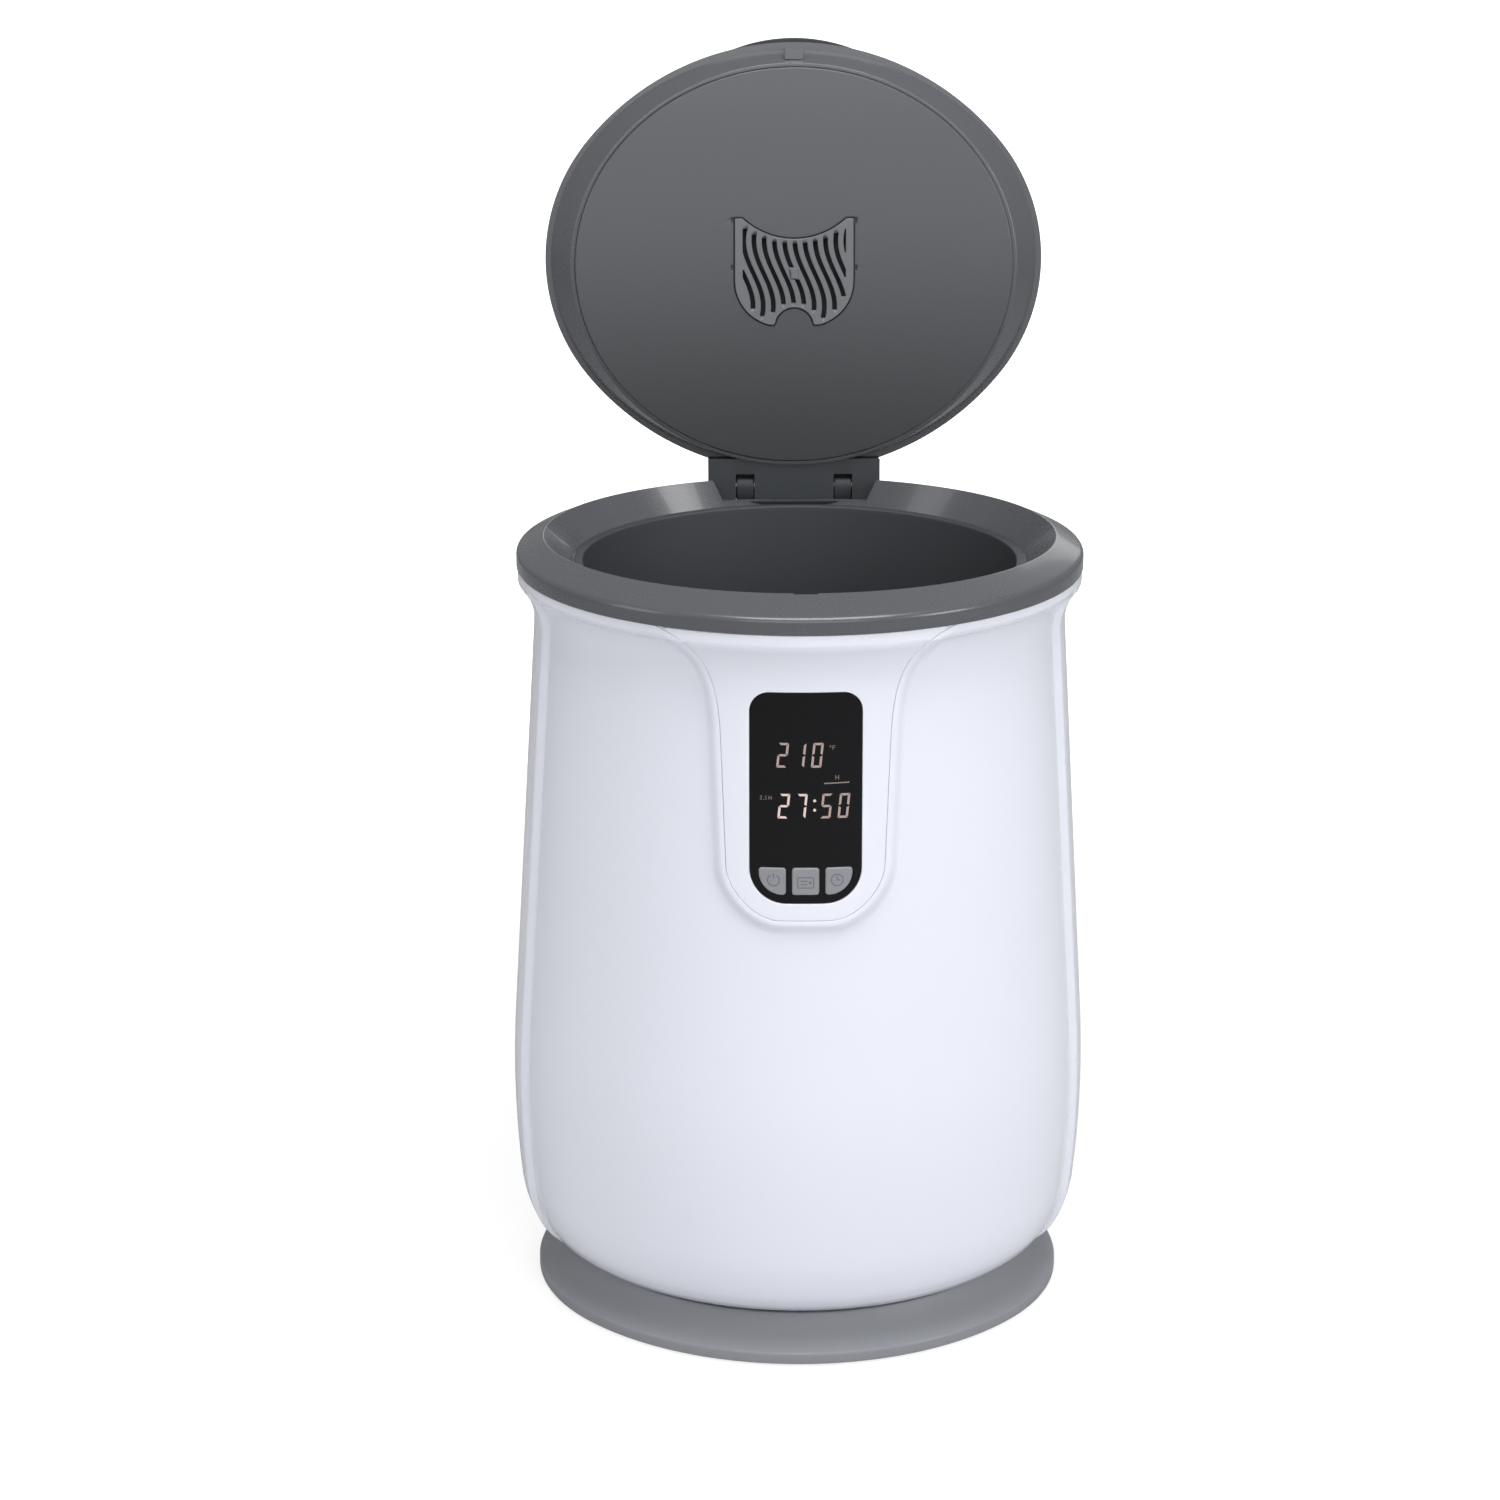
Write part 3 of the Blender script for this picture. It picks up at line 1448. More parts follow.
@dataclass
class Shells:
    """The white front and rear halves of the body.

    Attributes:
        recess: Depth of the recessed front.
        strip: How far forward the side strips reach.
        top: Height of the recess's top.
        corner: Radius of its upper corners, seen from the side.
        wall: Thickness of the shells.
        soft_in: How far the step into the recess starts outside its edge.
        soft_out: How far it runs on inside.
        controls: The control panel, whose apron bounds the recess.
        edge: Outline of that apron.
        half_gap: Half the gap between the two shells.
    """

    recess: float = 3.5
    strip: float = 38.0
    top: float = 443.0
    corner: float = 14.0
    wall: float = 3.0
    soft_in: float = 0.9
    soft_out: float = 6.5
    controls: Controls = field(default_factory=Controls)
    edge: Points = field(default_factory=lambda: Controls().apron(0))
    half_gap: float = 0.15

    def strip_gap(self, places: Points) -> Points:
        """Distance of points inside the recess from its side and top edges.

        Args:
            places: Points on the body.

        Returns:
            One distance for each, negative outside.
        """
        back, down = -self.strip - places[:, 1], self.top - places[:, 2]
        near = self.corner - np.hypot(self.corner - back, self.corner - down)
        return np.where((back < self.corner) & (down < self.corner), near, np.minimum(back, down))

    def gap(self, places: Points) -> Points:
        """Distance of points inside the recess from its whole edge.

        Args:
            places: Points on the body.

        Returns:
            One distance for each, negative outside.
        """
        first = self.strip_gap(places)
        second = distance_in(to_face(places), self.edge)
        blend = 6.0
        share = np.clip(0.5 + (second - first) / blend, 0, 1)
        return second * (1 - share) + first * share - blend / 4 * share * (1 - share)

    def front_place(self, points: Points, depths: Any) -> Points:
        """Carries flat points to the front shell, sunk where the recess is.

        Args:
            points: Flat points.
            depths: Depth of each point below the surface.

        Returns:
            Points in space.
        """
        run = self.soft_in + self.soft_out
        share = np.clip((self.gap(on_body(points, 0.0)) + self.soft_in) / run, 0, 1)
        return on_body(points, depths, self.recess * share * share * (3 - 2 * share))

    def edge_points(self) -> Points:
        """Rows of points along the recess's edges, close together where the step bends.

        Returns:
            Points in girth and height.
        """
        lines, margin = 14, 0.3
        rows = []
        base = spread(self.edge, 2.2)
        lean = np.radians(np.linspace(0, 90, lines))
        side = np.arange(FOOT[1] + 1, self.top - self.corner, 4.0)
        girth = np.arange(-215.0, 215.5, 1.8)
        for move in np.linspace(-self.soft_in, self.soft_out, lines):
            rows.append(from_face(base + outward(base) * move))
            inner = self.corner - move
            bend = np.column_stack([
                -self.strip - self.corner + inner * np.cos(lean),
                self.top - self.corner + inner * np.sin(lean),
            ])
            line = np.vstack([np.column_stack([np.full(len(side), -self.strip - move), side]), bend])
            rows += [self.side_of(line, mirror) for mirror in (-1, 1)]
            rows.append(np.column_stack([girth, np.full(len(girth), self.top - move)]))
        points = np.vstack(rows)
        span = self.gap(on_body(points, 0.0))
        return points[(span > -self.soft_in - margin) & (span < self.soft_out + margin)]

    @staticmethod
    def side_of(line: Points, mirror: int) -> Points:
        """Flat points of the body's side at given Y and height.

        Args:
            line: Rows of Y and height.
            mirror: 1 for the right side, -1 for the left.

        Returns:
            Rows of girth and height.
        """
        angles = np.linspace(-math.pi / 2, 0, 400)
        girths = np.interp(angles, TURNS, GIRTH)
        made = []
        for y, height in line:
            around = BODY_OVAL.point(angles, np.full(len(angles), half_at(height)))[:, 1]
            made.append((mirror * np.interp(y, around, girths), height))
        return np.array(made)

    def build(self) -> None:
        """Builds both shells."""
        controls = self.controls
        seam = np.interp(0.0, TURNS, GIRTH)
        quarter = seam - self.half_gap
        opening = controls.clipped(controls.apron(controls.seam))
        path = opening[opening[:, 1] < TOP_Z - 1e-6]
        path = path if path[0][0] > 0 else path[::-1]
        frame_line = [
            [path[-1][0], TOP_Z], [-quarter, TOP_Z], [-quarter, FOOT[1]],
            [quarter, FOOT[1]], [quarter, TOP_Z], [path[0][0], TOP_Z],
        ]
        border = spread(np.array(frame_line), 3.0, closed=False)
        outline = np.vstack([border, path])
        outline = outline if signed_area(outline) > 0 else outline[::-1]
        skin = Skin()
        Plate(outline, self.front_place, self.wall, 0.5, (), 8.0, self.edge_points()).into(skin)
        made = skin.piece("front_half_shell", Finish.WHITE)
        settle(made, Body.HOUSING, "front_shell", slot="white_shell")
        self.build_rear(quarter + 2 * self.half_gap)

    def build_rear(self, quarter: float) -> None:
        """Builds the rear half with its notch for the hinge and the hole for the mains inlet.

        Args:
            quarter: Girth at which the rear half starts.
        """
        notch, notch_z, inlet, inlet_z = 56.3, 437.9, 7.3, 112.0
        whole = GIRTH[-1]
        sides = np.array([[notch, HINGE_Y, 445.0], [-notch, HINGE_Y, 445.0]])
        low, high = sorted(flat_of(sides)[:, 0] % whole)
        corners = [
            (quarter, FOOT[1], 0), (whole - quarter, FOOT[1], 0), (whole - quarter, TOP_Z, 0),
            (high, TOP_Z, 0), (high, notch_z, 1.5), (low, notch_z, 1.5), (low, TOP_Z, 0),
            (quarter, TOP_Z, 0),
        ]
        outline = spread(rounded(corners, 5), 3.0)
        angles = np.linspace(0, 2 * math.pi, 48, endpoint=False)
        hole = np.column_stack([whole / 2 + inlet * np.cos(angles), inlet_z + inlet * np.sin(angles)])
        skin = Skin()
        Plate(outline, on_body, self.wall, 0.5, [hole], 9.0).into(skin)
        made = skin.piece("rear_half_shell", Finish.WHITE)
        settle(made, Body.HOUSING, "rear_shell", slot="white_shell")


# ---- Lid, drawn closed and turned about its hinge to the open pose ----
# Hinge axis, then heights and half-sizes of the rim: outside, crest and throat.
HINGE_Y, HINGE_Z, OPEN_ANGLE = 138.0, 457.0, math.radians(-97.4)
CREST_Z, LEDGE_Z = 465.0, 447.6
RIM_HALF, RIM_DEPTH = 165.0, 151.0
CREST_HALF, CREST_DEPTH, CREST_FLAT = 149.5, 127.5, 0.6
THROAT_HALF, THROAT_DEPTH, THROAT_Y = 132.5, 121.5, 4.3
PLUG_GAP = 1.4
LID_EDGE_Z = CREST_Z + 0.6
PANEL_Z = LID_EDGE_Z - 16.0


def opened(places: Points) -> Points:
    """Turns places of the closed lid about the hinge to the open pose.

    Args:
        places: Points of the closed lid.

    Returns:
        The same points of the open lid.
    """
    y, z = places[:, 1] - HINGE_Y, places[:, 2] - HINGE_Z
    c, s = math.cos(OPEN_ANGLE), math.sin(OPEN_ANGLE)
    return np.column_stack([places[:, 0], HINGE_Y + c * y - s * z, HINGE_Z + s * y + c * z])


def on_lid(height: float) -> Placing:
    """Places flat points, X and distance towards the front, on a level of the closed lid.

    Args:
        height: Height of the level on the closed lid.

    Returns:
        A placing for plates.
    """

    def place(points: Points, depths: Any) -> Points:
        """Carries flat points and depths above the level to the open lid."""
        deep = height + np.zeros(len(points)) + depths
        return opened(np.column_stack([points[:, 0], -points[:, 1], deep]))

    return place


def plug_level(height: float, inset: float) -> list[float]:
    """Ellipse of the lid's plug at a height, moved in by inset.

    Args:
        height: Height on the closed lid.
        inset: Distance by which it moves in.

    Returns:
        A level as polar() takes it.
    """
    share = (height - LEDGE_Z) / (CREST_Z - LEDGE_Z)
    half = THROAT_HALF + share * (CREST_HALF - CREST_FLAT - THROAT_HALF)
    depth = THROAT_DEPTH + share * (CREST_DEPTH - CREST_FLAT - THROAT_DEPTH)
    return [height, half - PLUG_GAP - inset, depth - PLUG_GAP - inset, THROAT_Y * (1 - share)]


@dataclass
class Vent:
    """The slotted cover in the middle of the lid, with its panel and the scent pad.

    Attributes:
        half: Half-width.
        ear: Distance of the ear tips towards the lid's front.
        chin: Distance of the lower tips, negative towards the hinge.
        band: Width of the frame above and below the slits.
        side_band: Width of the frame beside them.
        count: Number of slits.
        pitch: Step between the slits.
        width: Width of a slit.
        sway: Sideways swing of a slit.
        calm: Where the slits cross their own middle.
        bulge: Distance from there to where they swing farthest.
        grip: Half-length of the grip that bridges the middle slit.
        thick: Thickness of the cover.
        proud: How far it stands out of the panel.
        legs: Distances of its snap legs towards the lid's front.
        gap: Gap between the cover and its opening.
    """

    half: float = 36.0
    ear: float = 25.7
    chin: float = -38.6
    band: float = 2.7
    side_band: float = 4.7
    count: int = 13
    pitch: float = 6.2
    width: float = 2.8
    sway: float = 5.9
    calm: float = -7.6
    bulge: float = 19.8
    grip: float = 3.6
    thick: float = 2.4
    proud: float = 1.2
    legs: tuple[float, float] = (17.7, -4.3)
    gap: float = 0.4

    def outline(self, grow: float) -> Points:
        """Outline of the cover with its two ears, its brow and its notch, moved out by grow.

        Args:
            grow: Distance by which the outline moves out.

        Returns:
            Outline in X and distance towards the lid's front, anticlockwise.
        """
        brow_half, brow_low = 31.5, 13.3
        drop = self.ear - brow_low
        radius = (brow_half**2 + drop**2) / (2 * drop)
        x = np.linspace(brow_half, -brow_half, 40)
        brow = np.column_stack([x, brow_low + radius - np.sqrt(radius**2 - x**2)])
        cheek, tip_x, mouth_x, mouth = -12.0, 15.2, 12.0, -28.1
        run = self.half - tip_x
        jaw_radius = (run**2 + (cheek - self.chin) ** 2) / (2 * run)
        swing = np.linspace(0, math.asin((cheek - self.chin) / jaw_radius), 24)
        jaw_x = self.half - jaw_radius * (1 - np.cos(swing))
        jaw = np.column_stack([jaw_x, cheek - jaw_radius * np.sin(swing)])
        rise = mouth - self.chin
        bite = (mouth_x**2 + rise**2) / (2 * rise)
        x = np.linspace(-mouth_x, mouth_x, 24)
        notch = np.column_stack([x, mouth - bite + np.sqrt(np.maximum(bite**2 - x**2, 0))])
        left = np.vstack([[(-self.half, self.ear)], jaw * [-1, 1]])
        right = np.vstack([jaw[::-1], [(self.half, self.ear)]])
        loop = spread(np.vstack([brow, left, notch, right]), 1.2)
        return grown(loop, grow) if grow else loop

    def slits(self) -> list[Points]:
        """Outlines of the slits, cut off at the frame; the grip bridges the middle one.

        Returns:
            One loop for each slit or part of a slit.
        """
        inner = self.outline(-self.band)
        limit = self.half - self.side_band
        narrowest, shortest = 0.5, 5
        made = []
        levels = np.arange(self.chin, self.ear, 0.35)
        wave = self.sway * np.sin(math.pi / 2 * (self.calm - levels) / self.bulge)
        for index in range(self.count):
            centre = (index - (self.count - 1) / 2) * self.pitch
            low = np.clip(centre + wave - self.width / 2, -limit, limit)
            high = np.clip(centre + wave + self.width / 2, -limit, limit)
            left, right = np.column_stack([low, levels]), np.column_stack([high, levels])
            wide = (high - low > narrowest) & inside(left, inner) & inside(right, inner)
            if index == self.count // 2:
                wide &= (levels < self.calm - self.grip) | (levels > self.calm + self.grip)
            for run in np.split(np.arange(len(levels)), np.nonzero(np.diff(wide.astype(int)))[0] + 1):
                if wide[run[0]] and len(run) > shortest:
                    made.append(np.vstack([right[run], left[run][::-1]]))
        return made

    def build(self) -> None:
        """Builds the cover, the panel with its cup, and the pad."""
        skin = Skin()
        face = PANEL_Z - self.proud
        Plate(self.outline(0), on_lid(face), self.thick, 0.45, self.slits(), 4.0).into(skin)
        grip = rounded([(-2.4, -11.1, 0.5), (3.0, -11.1, 0.5), (2.0, -4.0, 0.5), (-3.4, -4.0, 0.5)], 4)
        Plate(grip, on_lid(face - 0.5), self.thick, 0.4, (), 2.0).into(skin)
        section = np.array([(-0.5, -2.0), (0.5, -2.0), (0.5, 2.0), (-0.5, 2.0)])
        for side in (-1, 1):
            for leg in self.legs:
                foot = section + np.array([side * (self.half - 1.0), leg])
                Plate(foot, on_lid(PANEL_Z + 1.8), 2.7, 0.1, (), 2.0, steps=1).into(skin)
        settle(skin.piece("vent_cover", Finish.GRILLE), Body.GRILLE, "aroma_grille", slot="dark_grey")
        self.build_panel()
        settle(copied("aroma_pad", "scent_pad", Finish.FELT), Body.LID, "aroma_pad")

    def build_panel(self) -> None:
        """Builds the raised panel of the lid with the cup behind the cover."""
        sheet, seat, cup_depth, cup_floor = 2.4, 2.5, 6.7, 1.6
        _, half, depth, middle = plug_level(PANEL_Z + 2.7, seat)
        angles = np.linspace(0, 2 * math.pi, 260, endpoint=False)
        border = np.column_stack([half * np.cos(angles), -middle + depth * np.sin(angles)])
        cup, mouth = self.outline(2.0), self.outline(self.gap)
        hollow = mouth
        for side in (-1, 1):
            for clip in (self.ear - 1.3, self.legs[1]):
                mouth = self.with_clip(mouth, side, clip)
        skin = Skin()
        Plate(border, on_lid(PANEL_Z), sheet, 0.9, [mouth], 9.0).into(skin)
        Plate(cup, on_lid(PANEL_Z + sheet), cup_depth, 0.0, [hollow], 9.0, steps=0).into(skin)
        Plate(cup, on_lid(PANEL_Z + 7.5), cup_floor, 0.0, (), 9.0, steps=0).into(skin)
        settle(skin.piece("lid_panel", Finish.PANEL), Body.LID, "lid_liner", slot="dark_grey")

    def with_clip(self, loop: Points, side: int, level: float) -> Points:
        """Adds a small clip notch to the opening's side.

        Args:
            loop: The opening.
            side: 1 for the right side, -1 for the left.
            level: Middle of the notch towards the front.

        Returns:
            The opening with its notch.
        """
        reach = 1.3
        x0, x1 = side * (self.half + self.gap), side * (self.half + 2.0)
        near = (np.abs(loop[:, 0] - x0) < 0.05) & (np.abs(loop[:, 1] - level) < reach)
        step = [(x0, level - reach), (x1, level - reach), (x1, level + reach), (x0, level + reach)]
        step = step if side > 0 else step[::-1]
        ids = np.nonzero(near)[0]
        if not len(ids):
            return loop
        rolled = np.roll(loop, -int(ids[0]), 0)
        near = np.roll(near, -int(ids[0]))
        return np.vstack([np.array(step, float), rolled[~near]])


# ---- Tub, foot and rim ----
@dataclass
class Tub:
    """The inner barrel that holds the towels, hanging by its flange.

    Attributes:
        mouth: Half-width at the top.
        floor: Half-width at the floor.
        floor_z: Height of the floor.
        wall: Thickness of the sheet.
        corner: Radius of the floor's corner.
        flange: Half-width of the flange that it hangs by.
        middle: Half-width inside which the floor is one flat patch.
    """

    mouth: float = 126.5
    floor: float = 118.0
    floor_z: float = 72.0
    wall: float = 1.2
    corner: float = 16.0
    flange: float = 131.9
    middle: float = 40.0

    def half(self, height: float) -> float:
        """Half-width of the wall's inside at a height."""
        return self.floor + (height - self.floor_z) / (LEDGE_Z - self.floor_z) * (self.mouth - self.floor)

    def build(self) -> None:
        """Builds the barrel as one closed skin, inside and outside."""
        oval, steps = BARREL_OVAL, 8
        top, seat = LEDGE_Z + self.wall, LEDGE_Z + 0.1
        neck = self.half(LEDGE_Z)
        inner: list[list[Any]] = []
        for share in np.linspace(0, 1, steps + 1):
            turn = share * math.pi / 2
            x = self.half(self.floor_z) - self.corner * (1 - math.sin(turn))
            inner.append([self.floor_z + self.corner * (1 - math.cos(turn)), x, oval])
        outer = [
            [z - self.wall * (1 - k / steps), x + self.wall * k / steps, oval]
            for k, (z, x, _) in enumerate(inner)
        ]
        lip = [
            [LEDGE_Z - 1.0, neck + self.wall, oval], [seat, neck + self.wall, oval],
            [seat, self.flange, oval], [top, self.flange, oval],
            [top, self.mouth, oval], [LEDGE_Z - 1.5, neck, oval],
        ]
        rim = softened(lip, (0, 0.3, 0.3, 0.4, 0.9, 0))
        middle = [[self.floor_z, self.middle, oval]]
        under = [[self.floor_z - self.wall, self.middle, oval]]
        levels = [*under, *outer, *rim, *inner[::-1], *middle]
        piece = placed("inner_tub", ring_mesh("inner_tub", levels, 200, False), Finish.TUB)
        settle(piece, Body.HOUSING, "inner_barrel", slot="barrel_coat")


@dataclass
class Foot:
    """The grey flared ring that the body stands on.

    Attributes:
        edge: Half-width of the ring's foot.
        low: Height of its lowest edge.
        edge_z: Height where the flare starts.
        neck: Half-width at the body.
        neck_z: Height at the body.
        sag: Half-width and height in the middle of the flare.
        spigot: Outer and inner half-width of the collar inside the body.
        spigot_z: Height of its top.
    """

    edge: float = 158.7
    low: float = 1.2
    edge_z: float = 8.0
    neck: float = 137.0
    neck_z: float = 24.0
    sag: tuple[float, float] = (146.5, 14.4)
    spigot: tuple[float, float] = (132.2, 129.2)
    spigot_z: float = 33.0

    def build(self) -> None:
        """Builds the ring with its flare outside and its collar inside the body."""
        oval, wall = BODY_OVAL, 3.0
        start, end = np.array([self.edge, self.edge_z]), np.array([self.neck, self.neck_z])
        pull = 2 * np.array(self.sag) - (start + end) / 2
        flare = [
            [*((1 - t) ** 2 * start + 2 * t * (1 - t) * pull + t * t * end)[::-1], oval]
            for t in np.linspace(0, 1, 15)
        ]
        outer, inner = self.spigot
        levels = [
            [self.low, self.edge - wall, oval], [self.low, self.edge, oval], *flare,
            [self.neck_z, outer, oval], [self.spigot_z, outer, oval], [self.spigot_z, inner, oval],
            [self.neck_z - wall, inner, oval], [11.4, 143.5, oval], [5.0, self.edge - wall, oval],
        ]
        radii = [0.0, 0.8, 1.5, *[0.0] * (len(flare) - 2), 0.6, 0.0, 0.5, 0.5, 0.0, 0.0, 0.0]
        piece = placed("flared_foot", ring_mesh("flared_foot", softened(levels, radii)), Finish.BASE)
        settle(piece, Body.HOUSING, "base_skirt", slot="base_grey")


def across(x: float, side: int) -> Placing:
    """Places flat Y and Z on a plane square to X; on side -1 the flat Y is mirrored.

    Args:
        x: Where the plane cuts the X axis.
        side: 1 for a plane that faces right, -1 for left.

    Returns:
        A placing for plates.
    """

    def place(points: Points, depths: Any) -> Points:
        """Carries flat points and depths to space."""
        deep = x - side * (np.zeros(len(points)) + depths)
        return np.column_stack([deep, side * points[:, 0], points[:, 1]])

    return place


def facing(section: Points, side: int) -> Points:
    """A section in Y and Z, mirrored to stay anticlockwise when seen from the left."""
    return section if side > 0 else (section * [-1, 1])[::-1]


def lid_bar(skin: Skin, section: Points, low: float, high: float, soft: float) -> None:
    """Adds a bar of the open lid along X, with a section in the closed lid's Y and Z.

    Args:
        skin: Takes the faces.
        section: The bar's section, anticlockwise seen from the right.
        low: Left end.
        high: Right end.
        soft: Rolls the end that lies farther out; 0 keeps both ends sharp.
    """
    side = 1 if high > 0 else -1
    flat = across(high if side > 0 else low, side)
    bar = Plate(
        facing(section, side), lambda p, d: opened(flat(p, d)), high - low, soft, (), 3.0,
        steps=3 if soft else 0,
    )
    bar.into(skin)


def cut(
    piece: bpy.types.Object, boxes: Sequence[Sequence[float]], rods: Sequence[Sequence[float]]
) -> None:
    """Cuts boxes and rods along X out of a piece.

    Args:
        piece: The object to cut.
        boxes: Low and high X, low and high Y, low and high Z of each box.
        rods: Half-length, Y, Z and radius of each rod.
    """
    sides, crease = 72, 34.0
    tools = []
    for index, (x0, x1, y0, y1, z0, z1) in enumerate(boxes):
        made = bmesh.new()
        corners = [made.verts.new(Vector(p) * MM) for p in (
            (x0, y0, z0), (x1, y0, z0), (x1, y1, z0), (x0, y1, z0),
            (x0, y0, z1), (x1, y0, z1), (x1, y1, z1), (x0, y1, z1),
        )]
        for face in ((3, 2, 1, 0), (4, 5, 6, 7), (0, 1, 5, 4), (1, 2, 6, 5), (2, 3, 7, 6), (3, 0, 4, 7)):
            made.faces.new([corners[i] for i in face])
        tools.append((f"box_{index}", made))
    for index, (half, y, z, radius) in enumerate(rods):
        made = bmesh.new()
        turns = np.linspace(0, 2 * math.pi, sides, endpoint=False)
        circle = [(y + radius * math.cos(t), z + radius * math.sin(t)) for t in turns]
        ends = [[made.verts.new(Vector((x, *place)) * MM) for place in circle] for x in (-half, half)]
        made.faces.new(ends[0][::-1])
        made.faces.new(ends[1])
        for i in range(sides):
            j = (i + 1) % sides
            made.faces.new((ends[0][i], ends[0][j], ends[1][j], ends[1][i]))
        tools.append((f"rod_{index}", made))
    for name, made in tools:
        bmesh.ops.recalc_face_normals(made, faces=made.faces)
        step = piece.modifiers.new(name, "BOOLEAN")
        step.operation, step.solver = "DIFFERENCE", "EXACT"
        step.object = linked(name, taken(made, name))
    view = bpy.context.evaluated_depsgraph_get()
    mesh = bpy.data.meshes.new_from_object(piece.evaluated_get(view))
    piece.modifiers.clear()
    piece.data = smooth(mesh)
    for name, _ in tools:
        bpy.data.objects.remove(bpy.data.objects[name])
    mesh.set_sharp_from_angle(angle=math.radians(crease))


@dataclass
class Rim:
    """The dark rim with its sharp crest, the hinge's well and the two lugs.

    Attributes:
        swing: Radius of the well round the hinge.
        lug_x: Distance of the lugs from the middle.
        lug_half: Half-width of a lug.
    """

    swing: float = 13.7
    lug_x: float = 30.0
    lug_half: float = 5.3

    def build(self) -> None:
        """Builds the ring with its cuts, the well and the lugs."""
        ledge, wall, under_z = 4.0, 2.8, 444.8
        levels = [
            (LEDGE_Z, RIM_HALF, RIM_DEPTH, 0.0),
            (HINGE_Z, RIM_HALF, RIM_DEPTH, 0.0),
            (CREST_Z, CREST_HALF, CREST_DEPTH, 0.0),
            (CREST_Z, CREST_HALF - CREST_FLAT, CREST_DEPTH - CREST_FLAT, 0.0),
            (LEDGE_Z, THROAT_HALF, THROAT_DEPTH, THROAT_Y),
            (LEDGE_Z, THROAT_HALF - ledge, THROAT_DEPTH - ledge, THROAT_Y),
            (under_z, THROAT_HALF - ledge, THROAT_DEPTH - ledge, THROAT_Y),
            (under_z, THROAT_HALF + wall, THROAT_DEPTH + wall, THROAT_Y),
            (461.6, CREST_HALF + CREST_FLAT, CREST_DEPTH + CREST_FLAT, 0.0),
            (454.2, RIM_HALF - wall, RIM_DEPTH - wall, 0.0),
            (LEDGE_Z, RIM_HALF - wall, RIM_DEPTH - wall, 0.0),
        ]
        radii = (0.5, 2.6, 0.35, 0.25, 0.6, 0.6, 0.4, 0.4, 0.0, 0.0, 0.3)
        ring = placed("rim_ring", ring_mesh("rim_ring", softened(levels, radii, 5), 360), Finish.GREY)
        notch = (-53.5, 53.5, 119.6, 175.0, 451.7, 480.0)
        pocket = (-6.7, 6.7, -128.2, -119.3, 453.8, 480.0)
        cut(ring, (notch, pocket), ((53.5, HINGE_Y, HINGE_Z, self.swing),))
        settle(ring, Body.HOUSING, "rim_collar", slot="dark_grey")
        skin = Skin()
        self.well(skin)
        for middle in (-self.lug_x, self.lug_x):
            self.lug(skin, middle)
        settle(skin.piece("hinge_well", Finish.FLAP), Body.HOUSING)

    def well(self, skin: Skin) -> None:
        """Adds the trough in which the hinge's flap turns.

        Args:
            skin: Takes the faces.
        """
        half, inset, front_drop = 55.5, 1.0, 5.3
        x = np.linspace(-half, half, 60)
        back = RIM_DEPTH * np.sqrt(1 - (x / RIM_HALF) ** 2) - inset
        reach = np.minimum((back - HINGE_Y) / self.swing, 0.97)
        last = np.arcsin(reach) * self.swing
        first = -math.acos(front_drop / self.swing) * self.swing
        near = np.column_stack([x, np.full(len(x), first)])
        far = np.column_stack([x, last])
        outline = spread(np.vstack([near, far[::-1]]), 2.0)

        def place(points: Points, depths: Any) -> Points:
            """Bends flat points round the hinge's axis.

            Args:
                points: Flat points.
                depths: Depth of each point below the surface.

            Returns:
                Points in space.
            """
            turn = points[:, 1] / self.swing
            away = self.swing + np.zeros(len(points)) + depths
            y, z = HINGE_Y + away * np.sin(turn), HINGE_Z - away * np.cos(turn)
            return np.column_stack([points[:, 0], y, z])

        Plate(outline, place, 2.2, 0.2, (), 3.0, steps=2).into(skin)

    def lug(self, skin: Skin, middle: float) -> None:
        """Adds one lug that stands up into the flap's slot.

        Args:
            skin: Takes the faces.
            middle: The lug's middle in X.
        """
        radius, low = 5.0, 441.0
        turns = np.linspace(0, math.pi, 17)
        arc = np.column_stack([HINGE_Y + radius * np.cos(turns), HINGE_Z + radius * np.sin(turns)])
        section = np.vstack([[(HINGE_Y - radius, low), (HINGE_Y + radius, low)], arc])
        half = self.lug_half
        for side in (-1, 1):
            place = across(middle + side * half, side)
            Plate(facing(section, side), place, half, 0.9, (), 2.0).into(skin)


